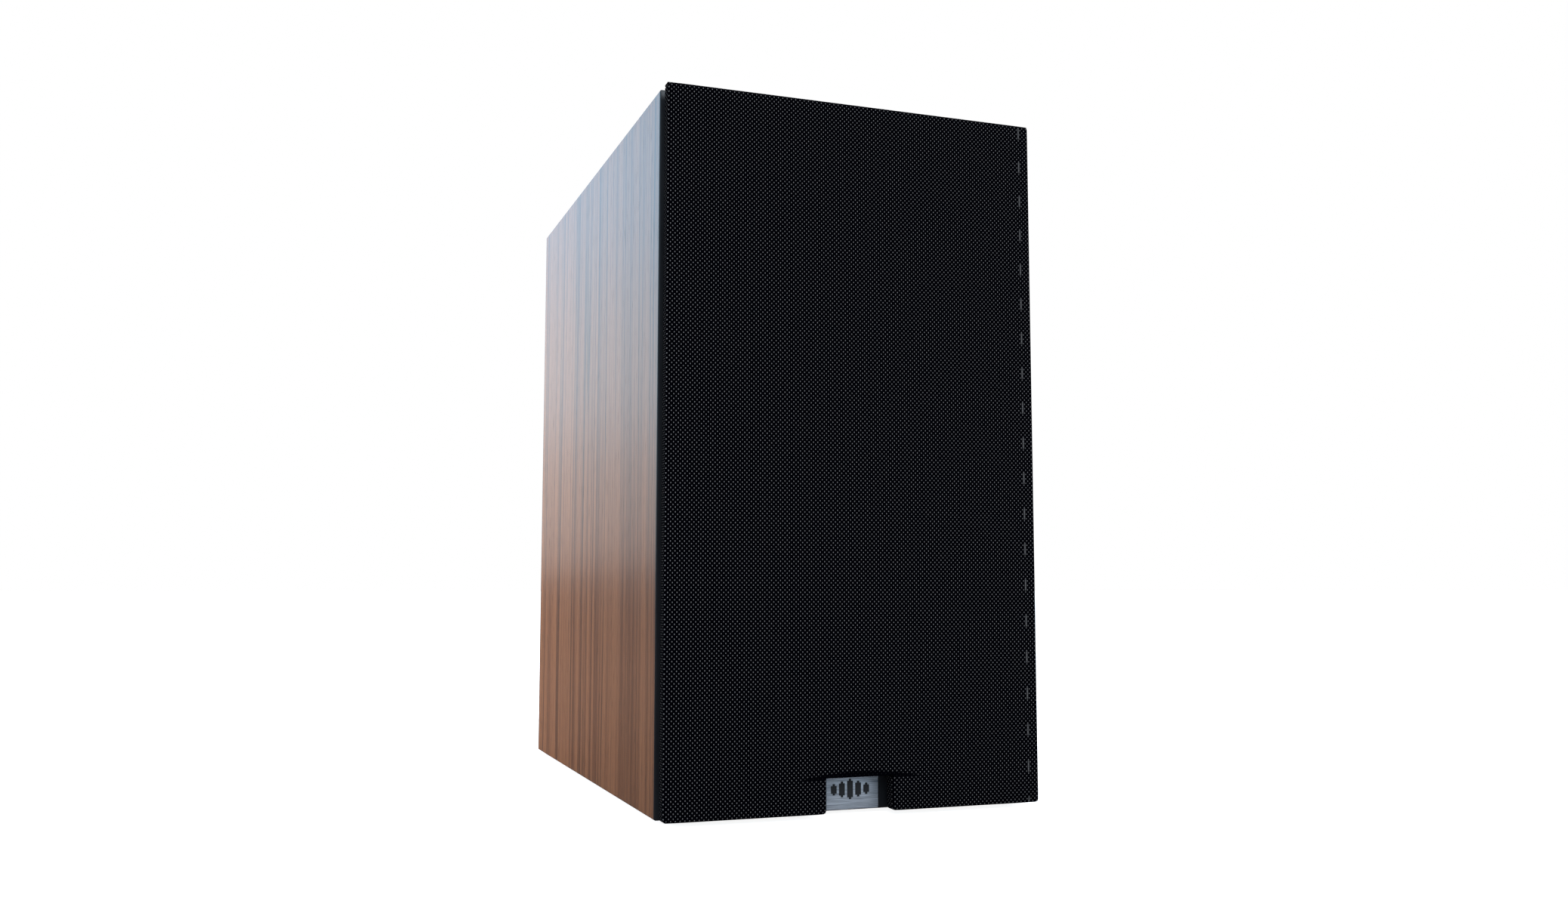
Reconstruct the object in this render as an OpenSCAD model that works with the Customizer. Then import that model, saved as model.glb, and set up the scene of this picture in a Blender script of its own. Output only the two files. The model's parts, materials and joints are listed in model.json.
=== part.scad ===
// Two-way bookshelf loudspeaker: veneered cabinet, woofer, tweeter, crossover, rear port,
// binding posts and a cloth grille held by hidden magnets.
// +X is the viewer's right, the front faces -Y, +Z is up. The origin is on the floor, under the
// centre of the whole object.

/* [Cabinet] */
// Width over the veneer
cabinet_w = 202; // [198:1:280]
// Height over the veneer, without the feet
cabinet_h = 360; // [356:1:480]
// Depth from the baffle's face to the back panel's face
cabinet_d = 314; // [270:1:380]
// Thickness of the side, top and bottom panels
panel_t = 15; // [12:0.5:18]
// Thickness of the front baffle
baffle_t = 18; // [15:0.5:25]
// Thickness of the back panel
back_t = 15; // [12:0.5:20]
// Thickness of the veneer wrap
veneer_t = 0.6; // [0.4:0.1:1.2]
// Thickness of the shelf brace
brace_t = 12; // [9:0.5:18]
// Width of the wood left around the brace's window
brace_rim = 26; // [15:1:40]
// Thickness of the damping pads
pad_t = 12; // [8:1:20]
// Diameter of a foot
foot_d = 14; // [10:1:20]
// Height of a foot
foot_h = 2; // [1.5:0.5:4]
// Distance from the cabinet's edges to a foot's centre
foot_inset = 24; // [12:1:40]

/* [Grille] */
// Thickness of the cloth-covered panel
grille_t = 7.4; // [6:0.2:12]
// Distance from the baffle to the back of that panel
grille_standoff = 7; // [5.5:0.1:10]
// How much smaller the grille is than the cabinet, on each side
grille_inset = 0.5; // [0.3:0.1:3]
// Thickness of the cloth
cloth_t = 0.6; // [0.4:0.1:1]
// How far the cloth turns in behind the panel
cloth_return = 4; // [2:0.5:4.5]
// Width of the frame's bars
bar_w = 14; // [12:0.5:18]
// Width of the notch for the badge
notch_w = 35.2; // [30:0.2:50]
// Height of the notch
notch_h = 17.2; // [14:0.2:24]
// Distance from the grille's edge to the rib that touches the baffle
rib_inset = 5.5; // [5:0.5:6]
// Width of that rib
rib_w = 3.5; // [3:0.5:4]
// Diameter of a holding magnet
magnet_d = 9; // [6:0.5:9.5]
// Height of a holding magnet
magnet_h = 4; // [3:0.5:5]

/* [Badge] */
// Width of the badge
badge_w = 31; // [20:0.5:34]
// Height of the badge
badge_h = 17.4; // [10:0.2:24]
// Thickness of the badge
badge_t = 1; // [0.8:0.1:2]
// Height of the badge's lower edge above the cabinet's
badge_rise = 0.4; // [0.3:0.1:4]

/* [Woofer] */
// Diameter of the frame
woofer_d = 172; // [140:1:174]
// Distance from the cabinet's lower edge to the frame
woofer_rise = 34; // [32:1:60]
// Thickness of the frame's flange
flange_t = 4; // [3:0.5:6]
// Width of the frame's flange
flange_w = 15; // [14:0.5:18]
// Width of the surround's roll
roll_w = 12; // [9:0.5:14]
// Thickness of the surround's rubber
rubber_t = 0.8; // [0.6:0.1:1.2]
// Depth of the cone
cone_depth = 26; // [20:1:30]
// Thickness of the cone
cone_t = 1; // [0.8:0.1:1.6]
// Diameter of the voice coil's former
coil_d = 30.8; // [25:0.2:38]
// Diameter of the dust cap
dust_cap_d = 60; // [50:1:64]
// Diameter of the ring magnet
woofer_magnet_d = 96; // [85:1:110]
// Height of the ring magnet
woofer_magnet_h = 16; // [12:1:22]
// Number of screws
woofer_screws_n = 6; // [4:1:8]
// How far the cone travels each way
woofer_stroke = 6; // [4:0.5:6]

/* [Tweeter] */
// Diameter of the faceplate
tweeter_d = 112; // [104:1:118]
// Gap between the two drivers' frames
driver_gap = 8; // [6:0.5:20]
// Thickness of the faceplate
faceplate_t = 4.2; // [3.5:0.1:6]
// Diameter of the waveguide's mouth
mouth_d = 93; // [84:1:94]
// Depth of the waveguide
waveguide_depth = 13; // [11:0.5:16]
// Diameter of the dome
dome_d = 25.4; // [19:0.2:26]
// Rise of the dome
dome_rise = 4.6; // [3:0.1:5]
// Diameter of the ring magnet
tweeter_magnet_d = 66; // [56:1:68]

/* [Terminals] */
// Height of the terminal cup's centre above the cabinet's lower edge
cup_rise = 92; // [70:1:120]
// Width of the cup's flange
cup_w = 104; // [90:1:120]
// Height of the cup's flange
cup_h = 70; // [60:1:90]
// Depth of the cup
cup_depth = 18; // [17:0.5:24]
// Distance between the posts
post_spacing = 19; // [18:0.5:24]
// Diameter of a post's threaded shaft
post_d = 7; // [6:0.5:8]
// Diameter of the plug socket in a post
socket_d = 4; // [4:0.1:4.2]
// Depth of that socket
socket_depth = 17.5; // [14:0.5:20]
// Diameter of a thumb nut
nut_d = 13.6; // [12:0.2:16]
// Length of a thumb nut
nut_l = 15.6; // [12:0.2:17]
// How far a thumb nut unscrews
nut_travel = 6; // [4:0.5:7]

/* [Port] */
// Bore of the port
port_d = 50; // [40:1:56]
// Length of the port
port_l = 122; // [90:1:150]
// Distance from the cabinet's top edge to the port's centre
port_drop = 80; // [70:1:110]
// Radius of the flares at the port's ends
flare_r = 10; // [6:0.5:12]
// Wall of the port
port_wall = 2.5; // [2:0.5:4]

/* [Crossover] */
// Width of the crossover board
board_w = 128; // [128:1:140]
// Length of the crossover board
board_l = 92; // [92:1:110]

/* [Hidden] */
$fn = 96;

fit = 0.05;      // clearance of a screw or pin in its hole
seat = 0.3;      // clearance around a part let into a panel
air = 0.3;       // gap between a moving piece and a fixed one
over = 1;        // how far a cutter runs past the face that it cuts

// Places along Y: the object is centred on the origin, from the cloth to the posts' ends
nut_start = -cup_depth + 4.9;                   // thumb nut's inner end, from the back panel's face
post_out = nut_start + nut_l + nut_travel + 1;  // how far the posts stand out of the back
grille_depth = grille_t + grille_standoff;
total_d = grille_depth + cabinet_d + post_out;
baffle_y = grille_depth - total_d / 2;
back_y = baffle_y + cabinet_d;

// The carcass inside the veneer
core_x = cabinet_w / 2 - veneer_t;
core_low = foot_h + veneer_t;
core_high = foot_h + cabinet_h - veneer_t;
inner_x = core_x - panel_t;
inner_low = core_low + panel_t;
inner_high = core_high - panel_t;
carcass_d = cabinet_d - baffle_t - back_t;
carcass_y = baffle_y + baffle_t;

// The woofer, measured from the baffle's face, outwards
woofer_r = woofer_d / 2;
woofer_z = foot_h + woofer_rise + woofer_r;
gasket_t = 1.5;
flange_top = 0.5;
flange_low = flange_top - flange_t;
rebate_floor = flange_low - gasket_t;
mouth_r = woofer_r - flange_w;                  // inner edge of the flange
lip_w = 4.5;                                    // width of the surround's glued lips
cone_r = mouth_r - roll_w;                      // outer edge of the cone's rim
cutout_r = mouth_r + 2;
coil_r = coil_d / 2;
former_t = 0.4;
winding_t = 0.9;
winding_h = 14;
cone_low = flange_top - air - cone_depth;       // neck of the cone
spider_z = cone_low - 12;
spider_r = mouth_r - 22;
plate_t = 6;                                    // thickness of the steel plates
frame_low = spider_z - 17;                      // back of the basket, where the magnet starts
gap_z = frame_low - plate_t / 2;                // middle of the magnet gap
magnet_low = frame_low - plate_t - woofer_magnet_h;
plate_r = woofer_magnet_d / 2 - 5;
screw_circle = woofer_r - 5;

// The tweeter, measured in the same way
tweeter_r = tweeter_d / 2;
tweeter_z = woofer_z + woofer_r + driver_gap + tweeter_r;
tweeter_gasket_t = 1;
face_top = 0.2;
face_low = face_top - faceplate_t;
tweeter_floor = face_low - tweeter_gasket_t;
boss_r = tweeter_magnet_d / 2 + 1;
tweeter_cutout_r = tweeter_r - 8;
dome_r = dome_d / 2;
throat_r = dome_r + 3.7;
ledge_r = throat_r + 1;
diaphragm_z = -waveguide_depth - 2;
ledge_z = diaphragm_z + 2.2;
tweeter_plate_t = 4;
tweeter_plate_low = diaphragm_z - 0.2 - tweeter_plate_t;
tweeter_magnet_h = 8;
tweeter_magnet_low = tweeter_plate_low - tweeter_magnet_h;
rear_cup_r = tweeter_magnet_d / 2 - 7;
rear_cup_l = 17;
tweeter_tag_z = tweeter_magnet_low - tweeter_plate_t - rear_cup_l / 2;
tweeter_screw_circle = tweeter_r - 5;

// The back of the cabinet
cup_z = foot_h + cup_rise;
cup_cut_w = cup_w - 24;
cup_cut_h = cup_h - 24;
cup_wall = 2.4;
cup_flange_t = 2.5;
port_z = foot_h + cabinet_h - port_drop;
port_r = port_d / 2;
spigot_r = port_r + flare_r;                    // what passes through the back panel
post_r = post_d / 2;
collar_t = 3.5;
washer_t = 1.2;

// The grille
grille_x = cabinet_w / 2 - grille_inset;
grille_low = foot_h + grille_inset;
grille_high = foot_h + cabinet_h - grille_inset;
crossbar_z = woofer_z + woofer_r + driver_gap / 2;
magnet_boss_r = magnet_d / 2 + 1.5;
magnet_inset = rib_inset + magnet_boss_r;
magnet_x = grille_x - magnet_inset;
magnet_rows = [grille_low + magnet_inset, crossbar_z, grille_high - magnet_inset];
baffle_skin = 1.5;                              // wood left in front of a hidden magnet

// The crossover, on the bottom panel
standoff_h = 6;
board_t = 1.6;
board_y = back_y - back_t - 42 - board_l / 2;
board_z = inner_low + standoff_h;
board_top = board_z + board_t;

// Colours
walnut = [0.45, 0.29, 0.20];
paint = [0.05, 0.05, 0.055];
mdf = [0.62, 0.50, 0.36];
steel = [0.62, 0.63, 0.65];
ferrite = [0.13, 0.13, 0.14];
plastic = [0.06, 0.06, 0.065];
copper = [0.72, 0.38, 0.20];
brass = [0.83, 0.65, 0.30];

// ---- frames and shapes that repeat ----

// Local Z points out of the baffle and local Y up, from a height on the baffle's face
module on_baffle(z) translate([0, baffle_y, z]) rotate([90, 0, 0]) children();

// Local Z points out of the back and local Y down, from a height on the back's face
module on_back(z) translate([0, back_y, z]) rotate([-90, 0, 0]) children();

module ring(r_in, r_out, low, high)
  translate([0, 0, low]) difference() {
    cylinder(r = r_out, h = high - low);
    translate([0, 0, -over]) cylinder(r = r_in, h = high - low + 2 * over);
  }

module disc(r, low, high) translate([0, 0, low]) cylinder(r = r, h = high - low);

// A thin spherical cap that stands on a circle
module cap_shell(base_r, rise, wall, low) {
  r = (base_r * base_r + rise * rise) / (2 * rise);
  translate([0, 0, low + rise - r]) intersection() {
    difference() {
      sphere(r = r);
      sphere(r = r - wall);
    }
    disc(r + over, r - rise, r + over);
  }
}

// The upper half of a thin ring-shaped tube
module half_roll(r_mid, r_tube, wall, low)
  translate([0, 0, low]) rotate_extrude() intersection() {
    translate([r_mid, 0]) difference() {
      circle(r = r_tube);
      circle(r = r_tube - wall);
    }
    translate([r_mid - r_tube - over, 0]) square([2 * (r_tube + over), r_tube + over]);
  }

module rounded_plate(w, h, r, low, high)
  translate([0, 0, low]) linear_extrude(high - low) {
    square([w - 2 * r, h], center = true);
    square([w, h - 2 * r], center = true);
    for (x = [-1, 1], y = [-1, 1]) translate([x * (w / 2 - r), y * (h / 2 - r)]) circle(r = r);
  }

module around(n, r, start = 0) for (i = [0:n - 1]) rotate(start + i * 360 / n) translate([r, 0, 0]) children();

// A countersunk-flat socket screw: its head's top, its underside and its tip
module socket_screw(head_r, shank_r, top, under, tip) difference() {
  union() {
    disc(head_r, under, top);
    disc(shank_r, tip, under);
  }
  translate([0, 0, top - (top - under) * 0.6]) cylinder(r = head_r * 0.5, h = over + top - under, $fn = 6);
}

// A smooth path through points, and a round tube along it
function unit(v) = v / norm(v);
function between(p, i, t) =
  let (a = p[max(i - 1, 0)], b = p[i], c = p[i + 1], d = p[min(i + 2, len(p) - 1)])
  0.5 * (2 * b + (c - a) * t + (2 * a - 5 * b + 4 * c - d) * t * t + (3 * b - a - 3 * c + d) * t * t * t);
function smooth(p, steps) =
  [for (i = [0:len(p) - 2], s = [0:steps - 1]) between(p, i, s / steps), p[len(p) - 1]];
function heading(p, i) = unit(p[min(i + 1, len(p) - 1)] - p[max(i - 1, 0)]);
function circle_at(p, i, r, sides) =
  let (t = heading(p, i), u = unit(cross(t, [1, 0.13, 0.07])), v = cross(t, u))
  [for (k = [0:sides - 1]) p[i] + r * (cos(k * 360 / sides) * u + sin(k * 360 / sides) * v)];
module tube_along(points, r, steps, sides = 8) {
  p = smooth(points, steps);
  n = len(p);
  polyhedron(
    points = [for (i = [0:n - 1]) each circle_at(p, i, r, sides)],
    faces = [
      [for (k = [0:sides - 1]) k],
      for (i = [0:n - 2], k = [0:sides - 1])
        let (a = i * sides + k, b = i * sides + (k + 1) % sides) [a, a + sides, b + sides, b],
      [for (k = [0:sides - 1]) n * sides - 1 - k]]);
}

// ---- cabinet ----

// A mitred panel, from its section across the cabinet
module carcass_panel(section) color(mdf)
  translate([0, carcass_y + carcass_d, 0]) rotate([90, 0, 0]) linear_extrude(carcass_d) polygon(section);

module side_panels() for (side = [-1, 1]) carcass_panel([
  [side * core_x, core_low], [side * core_x, core_high],
  [side * inner_x, inner_high], [side * inner_x, inner_low]]);
module top_panel() carcass_panel([
  [-core_x, core_high], [core_x, core_high], [inner_x, inner_high], [-inner_x, inner_high]]);
module bottom_panel() carcass_panel([
  [-core_x, core_low], [core_x, core_low], [inner_x, inner_low], [-inner_x, inner_low]]);

module veneer_wrap() color(walnut)
  translate([0, back_y, foot_h + cabinet_h / 2]) rotate([90, 0, 0]) linear_extrude(cabinet_d) difference() {
    square([cabinet_w, cabinet_h], center = true);
    square([2 * core_x, core_high - core_low], center = true);
  }

module front_baffle() color(paint) difference() {
  translate([-core_x, baffle_y, core_low]) cube([2 * core_x, baffle_t, core_high - core_low]);
  on_baffle(woofer_z) {
    disc(woofer_r + seat, rebate_floor, over);
    disc(cutout_r, -baffle_t - over, over);
    around(woofer_screws_n, screw_circle, 90) disc(2 + fit, -17 - fit, over);
  }
  on_baffle(tweeter_z) {
    disc(tweeter_r + seat, tweeter_floor, over);
    disc(tweeter_cutout_r, -baffle_t - over, over);
    around(4, tweeter_screw_circle, 45) disc(1.6 + fit, -15 - fit, over);
  }
  on_baffle(0) for (x = [-magnet_x, magnet_x], z = magnet_rows)
    translate([x, z, 0]) disc(magnet_d / 2 + fit, -baffle_t - over, -baffle_skin);
}

module baffle_magnets() color(steel) on_baffle(0)
  for (x = [-magnet_x, magnet_x], z = magnet_rows)
    translate([x, z, 0]) disc(magnet_d / 2, -baffle_skin - magnet_h, -baffle_skin);

module back_panel() color(paint) difference() {
  translate([-core_x, back_y - back_t, core_low]) cube([2 * core_x, back_t, core_high - core_low]);
  on_back(port_z) disc(spigot_r + seat, -back_t - over, over);
  on_back(cup_z) {
    rounded_plate(cup_cut_w, cup_cut_h, 6, -back_t - over, over);
    cup_screw_places() disc(1.6 + fit, -11 - fit, over);
  }
}

module shelf_brace() color(mdf) difference() {
  translate([-inner_x, carcass_y, crossbar_z - brace_t / 2]) cube([2 * inner_x, carcass_d, brace_t]);
  translate([0, carcass_y + carcass_d / 2, crossbar_z]) rounded_plate(
    2 * (inner_x - brace_rim), carcass_d - 2 * brace_rim, 20, -brace_t, brace_t);
}

// Pads on the side walls below and above the brace, and one under the top panel
module damping_pads() color([0.85, 0.84, 0.80]) {
  pad_y = carcass_y + 24;
  pad_d = carcass_d - 48;
  brace_low = crossbar_z - brace_t / 2;
  brace_high = crossbar_z + brace_t / 2;
  for (side = [-1, 1]) {
    translate([side * (inner_x - pad_t / 2), pad_y + pad_d / 2, 0]) {
      translate([-pad_t / 2, -pad_d / 2, inner_low + 8]) cube([pad_t, pad_d, brace_low - inner_low - 14]);
      translate([-pad_t / 2, -pad_d / 2, brace_high + 6]) cube([pad_t, pad_d, inner_high - brace_high - pad_t - 10]);
    }
  }
  translate([-inner_x + 4, pad_y, inner_high - pad_t]) cube([2 * inner_x - 8, pad_d, pad_t]);
}

module rubber_feet() color(plastic)
  for (x = [-1, 1], y = [baffle_y + foot_inset, back_y - foot_inset])
    translate([x * (cabinet_w / 2 - foot_inset), y, 0]) cylinder(d = foot_d, h = foot_h);

module badge_plate() color(steel) on_baffle(0)
  translate([0, foot_h + badge_rise + badge_h / 2, 0]) rounded_plate(badge_w, badge_h, 0.6, 0, badge_t);

// ---- woofer ----

module woofer_gasket() color(ferrite) on_baffle(woofer_z) difference() {
  ring(cutout_r, woofer_r - 1, rebate_floor, flange_low);
  around(woofer_screws_n, screw_circle, 90) disc(2 + fit, rebate_floor - over, over);
}

// Flange, six-armed cage, spider's landing and the plate that holds the magnet
module woofer_basket() color(paint) on_baffle(woofer_z) {
  wall = 2;
  cage_r = plate_r + 3;
  difference() {
    union() {
      ring(mouth_r, woofer_r, flange_low, flange_top);
      rotate_extrude() polygon([
        [mouth_r, flange_low], [mouth_r + wall, flange_low], [mouth_r - 4 + wall, flange_low - 12],
        [spider_r + 4 + wall, spider_z - 2], [cage_r, frame_low], [coil_r + 5, frame_low],
        [coil_r + 5, frame_low + 3], [cage_r - wall, frame_low + 3], [spider_r + 2, spider_z - 3],
        [spider_r - 4, spider_z - 3], [spider_r - 4, landing_z], [spider_r + 4, landing_z],
        [mouth_r - 4, flange_low - 12]]);
    }
    for (i = [0:5]) rotate(i * 60 + 42) {
      rotate_extrude(angle = 36) translate([spider_r - over, spider_z + 4])
        square([woofer_r, flange_low - 10 - spider_z - 4]);
      rotate_extrude(angle = 36) translate([spider_r - 8, frame_low + 5])
        square([woofer_r, spider_z - 5 - frame_low - 5]);
    }
    around(woofer_screws_n, screw_circle, 90) {
      disc(2 + 2 * fit, flange_low - over, flange_top + over);
      disc(4.2, flange_top - 2.2, flange_top + over);
    }
  }
}

module woofer_screws() color(ferrite) on_baffle(woofer_z)
  around(woofer_screws_n, screw_circle, 90) socket_screw(3.9, 2, flange_top - 0.2, flange_top - 2.2, -17);

// Clamps the surround's outer lip
module woofer_trim_ring() color(plastic) on_baffle(woofer_z) {
  lip_r = mouth_r + lip_w;
  ring(mouth_r + 1.5, lip_r + 2, flange_top + rubber_t, flange_top + rubber_t + 1.3);
  ring(lip_r + 0.2, lip_r + 2, flange_top, flange_top + rubber_t);
}

module woofer_surround() color(ferrite) on_baffle(woofer_z) {
  half_roll(cone_r + roll_w / 2, roll_w / 2 + rubber_t / 2, rubber_t, flange_top);
  ring(mouth_r - rubber_t / 2, mouth_r + lip_w, flange_top, flange_top + rubber_t);
  ring(cone_r - lip_w + 1, cone_r + rubber_t / 2, flange_top, flange_top + rubber_t);
}

// Height of the cone's front face at a radius: steep at the neck and shallower at the rim
cone_neck = coil_r + 0.1;
cone_top_r = cone_r - lip_w;
function cone_z(r) = cone_low + cone_depth * pow((r - cone_neck) / (cone_top_r - cone_neck), 0.86);
cone_steps = 10;
function cone_face(drop) = [for (i = [0:cone_steps])
  let (r = cone_neck + (cone_top_r - cone_neck) * i / cone_steps) [r, cone_z(r) - drop]];
function backwards(p) = [for (i = [len(p) - 1:-1:0]) p[i]];

module woofer_cone() color([0.16, 0.16, 0.17]) on_baffle(woofer_z) rotate_extrude() {
  rim = flange_top - air;
  polygon(concat(cone_face(0), [[cone_r - 0.6, rim], [cone_r - 0.6, rim - cone_t]], backwards(cone_face(cone_t * 1.3))));
}

module woofer_dust_cap() color(ferrite) on_baffle(woofer_z) {
  r = dust_cap_d / 2;
  cap_shell(r, 9, 0.8, cone_z(r) + 0.02);
}

module woofer_coil_former() color(copper) on_baffle(woofer_z)
  ring(coil_r - former_t, coil_r, gap_z - winding_h / 2, cone_low + 2);

module woofer_coil_winding() color(copper) on_baffle(woofer_z)
  ring(coil_r, coil_r + winding_t, gap_z - winding_h / 2, gap_z + winding_h / 2);

// Corrugated cloth disc that centres the coil, with a flat lip on the basket's landing
spider_waves = 5;
spider_steps = 8 * spider_waves;
spider_in = coil_r + air;
spider_out = spider_r + 2;
landing_z = spider_z - 1.2;
function spider_line(rise) = concat(
  [for (i = [0:spider_steps])
    [spider_in + (spider_r - 5 - spider_in) * i / spider_steps,
     spider_z + rise + 1.3 * sin(i * 360 * spider_waves / spider_steps)]],
  [[spider_r - 3.5, landing_z + 0.32 + rise], [spider_out, landing_z + 0.32 + rise]]);
module woofer_spider() color([0.80, 0.62, 0.25]) on_baffle(woofer_z)
  rotate_extrude() polygon(concat(spider_line(0.3), backwards(spider_line(-0.3))));

module woofer_top_plate() color(steel) on_baffle(woofer_z)
  ring(coil_r + winding_t + 0.9, plate_r, frame_low - plate_t, frame_low);

module woofer_magnet() color(ferrite) on_baffle(woofer_z)
  ring(woofer_magnet_d / 4, woofer_magnet_d / 2, magnet_low, frame_low - plate_t);

// Back plate with the vented pole
module woofer_back_plate() color(steel) on_baffle(woofer_z) {
  pole_r = coil_r - former_t - 0.7;
  difference() {
    union() {
      disc(plate_r, magnet_low - plate_t, magnet_low);
      disc(pole_r, magnet_low, frame_low);
    }
    disc(5, magnet_low - plate_t - over, frame_low + over);
  }
}

// Solder tags: a pair on a strip behind the basket, and a pair on the tweeter's rear cup
tag_drop = spider_r + 12;
tag_z = spider_z - 6;
module driver_terminals() color(brass) {
  on_baffle(woofer_z) translate([0, -tag_drop, tag_z]) {
    translate([-12, 0, 0]) cube([24, 1.6, 11.6]);
    for (x = [-7, 7]) translate([x - 2, -0.8, -8]) cube([4, 0.8, 18]);
  }
  on_baffle(tweeter_z) for (x = [-6, 6])
    translate([x - 1.5, -rear_cup_r - 6, tweeter_tag_z]) cube([3, 6.6, 0.8]);
}

// Braided leads from the tags to the cone's neck
module woofer_leads() color(copper) on_baffle(woofer_z) for (side = [-1, 1])
  tube_along([
    [side * 7, -tag_drop + 3, tag_z + 12], [side * 10, -tag_drop + 9, tag_z + 15],
    [side * 13, -(tag_drop + cone_neck) / 2 - 3, spider_z + 5], [side * 12, -cone_neck - 6, spider_z + 4],
    [side * 6, -cone_neck - 2, cone_low - 4]], 0.7, 6);

// ---- tweeter ----

module tweeter_gasket() color(ferrite) on_baffle(tweeter_z) difference() {
  ring(tweeter_cutout_r, tweeter_r - 1, tweeter_floor, face_low);
  around(4, tweeter_screw_circle, 45) disc(1.6 + fit, tweeter_floor - over, over);
}

// Faceplate with a flared waveguide and the boss that carries the motor
horn_steps = 14;
function horn_face() = [for (i = [0:horn_steps])
  let (u = i / horn_steps, r = ledge_r + (mouth_d / 2 - ledge_r) * u)
  [r, face_top - (face_top - ledge_z - 0.6) * pow(1 - u, 2)]];
module tweeter_waveguide() color(plastic) on_baffle(tweeter_z) difference() {
  rotate_extrude() polygon(concat(
    [[throat_r, ledge_z], [ledge_r, ledge_z]], horn_face(),
    [[tweeter_r, face_top], [tweeter_r, face_low], [tweeter_cutout_r - 0.5, face_low],
     [boss_r + 2, face_low - 4], [boss_r, diaphragm_z], [throat_r + 3, diaphragm_z],
     [throat_r + 3, diaphragm_z + 0.5], [throat_r, diaphragm_z + 0.5]]));
  around(4, tweeter_screw_circle, 45) {
    disc(1.6 + 2 * fit, face_low - over, face_top + over);
    disc(3.5, face_top - 2, face_top + over);
  }
}

module tweeter_screws() color(ferrite) on_baffle(tweeter_z)
  around(4, tweeter_screw_circle, 45) socket_screw(3.2, 1.6, face_top - 0.2, face_top - 2, -15);

module tweeter_mesh() color(ferrite) on_baffle(tweeter_z)
  cap_shell(ledge_r - 0.2, 6, 0.5, ledge_z + 0.05);

module tweeter_surround() color(ferrite) on_baffle(tweeter_z) {
  roll = 1.45;
  half_roll(dome_r + 0.4 + roll, roll, 0.4, diaphragm_z);
  ring(dome_r + 2 * roll, throat_r + 2.7, diaphragm_z, diaphragm_z + 0.4);
}

module tweeter_dome() color([0.75, 0.76, 0.78]) on_baffle(tweeter_z)
  cap_shell(dome_r, dome_rise, 0.4, diaphragm_z + 0.2);

module tweeter_coil() color(copper) on_baffle(tweeter_z) {
  ring(dome_r - 0.4, dome_r - 0.1, tweeter_plate_low - 1, diaphragm_z + 0.2);
  ring(dome_r - 0.1, dome_r + 0.3, tweeter_plate_low + 0.5, tweeter_plate_low + 3.5);
}

module tweeter_top_plate() color(steel) on_baffle(tweeter_z)
  ring(dome_r + 0.8, tweeter_magnet_d / 2 - 1, tweeter_plate_low, diaphragm_z - 0.2);

module tweeter_magnet() color(ferrite) on_baffle(tweeter_z)
  ring(dome_r + 5, tweeter_magnet_d / 2, tweeter_magnet_low, tweeter_plate_low);

module tweeter_back_plate() color(steel) on_baffle(tweeter_z) difference() {
  union() {
    disc(tweeter_magnet_d / 2 - 3, tweeter_magnet_low - tweeter_plate_t, tweeter_magnet_low);
    disc(dome_r - 0.8, tweeter_magnet_low, diaphragm_z - 0.6);
  }
  disc(3, tweeter_magnet_low - tweeter_plate_t - over, over);
}

module tweeter_rear_cup() color(plastic) on_baffle(tweeter_z) {
  top = tweeter_magnet_low - tweeter_plate_t;
  difference() {
    disc(rear_cup_r, top - rear_cup_l, top);
    disc(rear_cup_r - 2, top - rear_cup_l + 2, top + over);
  }
}

// ---- terminals ----

module cup_screw_places() for (x = [-1, 1], y = [-1, 1])
  translate([x * (cup_w / 2 - 7), y * (cup_h / 2 - 7), 0]) children();

module terminal_cup() color(plastic) on_back(cup_z) difference() {
  union() {
    rounded_plate(cup_w, cup_h, 8, 0, cup_flange_t);
    rounded_plate(cup_cut_w - 2 * seat, cup_cut_h - 2 * seat, 6, -cup_depth - cup_wall, 0);
  }
  rounded_plate(cup_cut_w - 2 * cup_wall, cup_cut_h - 2 * cup_wall, 5, -cup_depth, cup_flange_t + over);
  for (x = [-1, 1]) translate([x * post_spacing / 2, 0, 0]) disc(post_r + fit, -cup_depth - 2 * cup_wall, 0);
  cup_screw_places() disc(1.6 + 2 * fit, -over, cup_flange_t + over);
}

module terminal_screws() color(ferrite) on_back(cup_z) cup_screw_places()
  socket_screw(3.2, 1.6, cup_flange_t + 2, cup_flange_t, -11);

module post_at(side) on_back(cup_z) translate([side * post_spacing / 2, 0, 0]) children();

// Threaded shafts with a plug socket in the end and a cross hole for bare wire
hole_z = -cup_depth + collar_t + 2.2;
module binding_posts() color(brass) for (side = [-1, 1]) post_at(side) difference() {
  disc(post_r, -cup_depth - cup_wall - 12, post_out);
  disc(socket_d / 2, post_out - socket_depth, post_out + over);
  translate([0, 0, hole_z]) rotate([90, 0, 0]) disc(1.5, -post_d, post_d);
}

module post_collar() ring(post_r + fit, nut_d / 2 + 0.4, -cup_depth, -cup_depth + collar_t);
module post_collar_red() color("firebrick") post_at(-1) post_collar();
module post_collar_black() color(plastic) post_at(1) post_collar();

module post_washer() ring(post_r + 2 * fit, nut_d / 2 - 0.8, -cup_depth + collar_t + 0.1, -cup_depth + collar_t + 0.1 + washer_t);
module post_washer_red() color(brass) post_at(-1) post_washer();
module post_washer_black() color(brass) post_at(1) post_washer();

// Thumb nut with twelve grip flutes
module post_nut() difference() {
  ring(post_r + fit + 0.03, nut_d / 2, nut_start, nut_start + nut_l);
  around(12, nut_d / 2 + 0.6) disc(1.1, nut_start + 2.5, nut_start + nut_l + over);
}
module post_nut_red() color("firebrick") post_at(-1) post_nut();
module post_nut_black() color(plastic) post_at(1) post_nut();

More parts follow.
